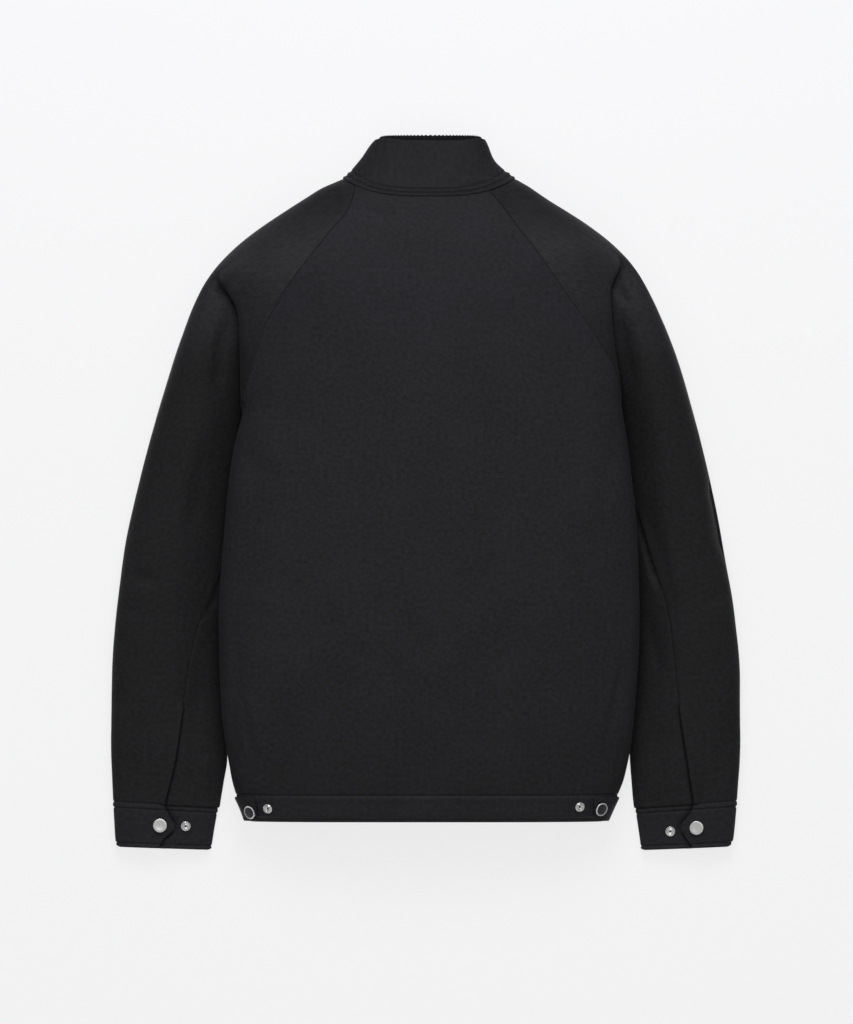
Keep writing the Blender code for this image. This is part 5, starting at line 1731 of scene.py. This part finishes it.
back = dress(makeBack(), "shell_cloth", "back")
collar = dress(makeCollar(), "shell_cloth", "collar")
facingPiece = dress(makeFacing(), "rib_knit", "collar_facing", slotName="rib_knit")
hemBack = dress(makeHemBack(), "band_cloth", "hem_back")
collarThread = sewOn("thread_collar", *[lineAcross("shell_collar", at, low=3.0) for at in collarCut["rows"]])
hemThread = sewOn("thread_hem_back", lineAcross("shell_hem_back", hemCut["bottom"], low=2.0))
for side in (-1, 1):
    tag = sideName[side]
    front = dress(makeFront(side), "shell_cloth", "front_" + tag)
    upper = dress(makeUpperSleeve(side), "sleeve_cloth", "sleeve_upper_" + tag)
    under = dress(makeUnderSleeve(side), "sleeve_cloth", "sleeve_under_" + tag)
    cuff = dress(makeCuff(side), "band_cloth", "cuff_" + tag)
    hem = dress(makeHemFront(side), "band_cloth", "hem_front_" + tag)
    tab = dress(makeHemTab(side), "band_cloth", "hem_tab_" + tag)
    tape = dress(makeTape(side), "zip_tape", "zip_tape_" + tag, slotName="zip_tape")
    cuffThread = sewOn(
        "thread_cuff_" + tag,
        lineAcross("shell_cuff_" + tag, cuffCut["bottom"], low=2.0),
        lineAcross("shell_cuff_" + tag, cuffCut["top"], fromTop=True, low=2.0),
        lineAlong("shell_cuff_" + tag, cuffCut["seam"], fromEnd=True, low=cuffBottom + 5, high=cuffSeam - 7))
    hemThread = sewOn(
        "thread_hem_" + tag,
        lineAcross("shell_hem_" + tag, hemCut["bottom"], low=2.0),
        lineAlong("shell_front_" + tag, hemCut["beside"], fromEnd=True))
    tabThread = sewOn(
        "thread_hem_tab_" + tag,
        lineAcross("shell_hem_tab_" + tag, hemTabCut["edge"], low=2.4),
        lineAcross("shell_hem_tab_" + tag, hemTabCut["edge"], fromTop=True, low=2.4),
        lineAlong("shell_hem_tab_" + tag, hemTabCut["edge"], low=-348.6, high=-329.6))
    top = functools.partial(sleeveTop, side)
    addSnap(cap, "cap_cuff_" + tag, top, cuffSnaps[side][0], capLift, paintShade=False)
    addSnap(stud, "stud_cuff_" + tag, top, cuffSnaps[side][1], cuffStudLift)
    addSnap(cap, "cap_hem_" + tag, crown, hemSnaps[side][0], tabWall + 2 * layerGap + capLift)
    addSnap(stud, "stud_hem_" + tag, crown, hemSnaps[side][1], studLift)
for side, x, y, turn in ((-1, -263.4, -224.6, -0.1), (1, 275.6, -236.5, 0.05)):
    dress(bartack("thread_bartack_" + sideName[side], side, x, y, turn), "thread")
dress(makeTeeth(), "dark_metal", "zip_chain", slotName="dark_metal")
dress(makeSlider(), "dark_metal", "zip_slider", slotName="dark_metal")
dress(makePull(), "dark_metal", "zip_pull", slotName="dark_metal", body="zip_pull")
print("pieces made")


# floor, light and camera
# the photo's floor glows a little by itself, as an opal table lit from below does,
# which keeps its shadows pale
stage = {"glow": 0.9, "low": "#eeeeee", "high": "#efeff1", "paper": 0.16,
         "horizon": 0.2, "zenith": 0.5,
         "sensor": 36.0, "cameraHigh": 12.0, "viewHigh": 1.1059, "aim": (0.00092, -0.02153),
         "lights": [
             # name, place, size, watts: a broad soft light beyond the collar and a weaker one below the hem
             ("key", (0.0, 1.75, 1.75), 1.6, 38.0),
             ("fill", (-0.5, -1.9, 2.4), 2.5, 8.0),
         ]}


def makeStage():
    deselectAll()
    bpy.ops.mesh.primitive_plane_add(size=30.0, location=(0, 0, -0.0004))
    floor = bpy.context.object
    floor.name = "floor"
    paper, tree, shader = newMaterial("acrylic_table_opal", {
        "Roughness": 0.9, "Specular IOR Level": 0.1, "Emission Strength": stage["glow"],
        "Base Color": (stage["paper"], stage["paper"], stage["paper"], 1)})
    place = addNode(tree, "ShaderNodeTexCoord")
    parts = addNode(tree, "ShaderNodeSeparateXYZ", links={"Vector": place.outputs["Object"]})
    along = addNode(tree, "ShaderNodeMapRange", inputs={"From Min": -0.55, "From Max": 0.55},
                    links={"Value": parts.outputs["Y"]})
    ramp = addNode(tree, "ShaderNodeValToRGB", links={"Fac": along.outputs["Result"]},
                   stops=[(0.0, stage["low"]), (1.0, stage["high"])])
    tree.links.new(ramp.outputs["Color"], shader.inputs["Emission Color"])
    floor.data.materials.append(paper)
    deselectAll()
    for name, place, size, watts in stage["lights"]:
        data = bpy.data.lights.new(name, "AREA")
        data.shape = "DISK"
        data.size = size
        data.energy = watts
        lamp = bpy.data.objects.new(name, data)
        lamp.location = place
        lamp.rotation_euler = (-Vector(place)).to_track_quat("-Z", "Y").to_euler()
        bpy.context.scene.collection.objects.link(lamp)
    world = bpy.data.worlds.new("studio")
    world.use_nodes = True
    tree = world.node_tree
    sky = tree.nodes["Background"]
    sky.inputs["Color"].default_value = (1.0, 1.0, 1.0, 1)
    place = addNode(tree, "ShaderNodeTexCoord")
    parts = addNode(tree, "ShaderNodeSeparateXYZ", links={"Vector": place.outputs["Generated"]})
    glow = addNode(tree, "ShaderNodeMapRange", inputs={"To Min": stage["horizon"], "To Max": stage["zenith"]},
                   links={"Value": parts.outputs["Z"]})
    tree.links.new(glow.outputs["Result"], sky.inputs["Strength"])
    bpy.context.scene.world = world
    data = bpy.data.cameras.new("camera")
    data.sensor_width = stage["sensor"]
    data.lens = stage["sensor"] * (stage["cameraHigh"] - 0.02) / stage["viewHigh"]
    data.clip_start = 0.5
    data.clip_end = 60.0
    camera = bpy.data.objects.new("camera", data)
    camera.location = (*stage["aim"], stage["cameraHigh"])
    bpy.context.scene.collection.objects.link(camera)
    bpy.context.scene.camera = camera
    bpy.context.scene.view_settings.view_transform = "Standard"


makeStage()
print("stage made")
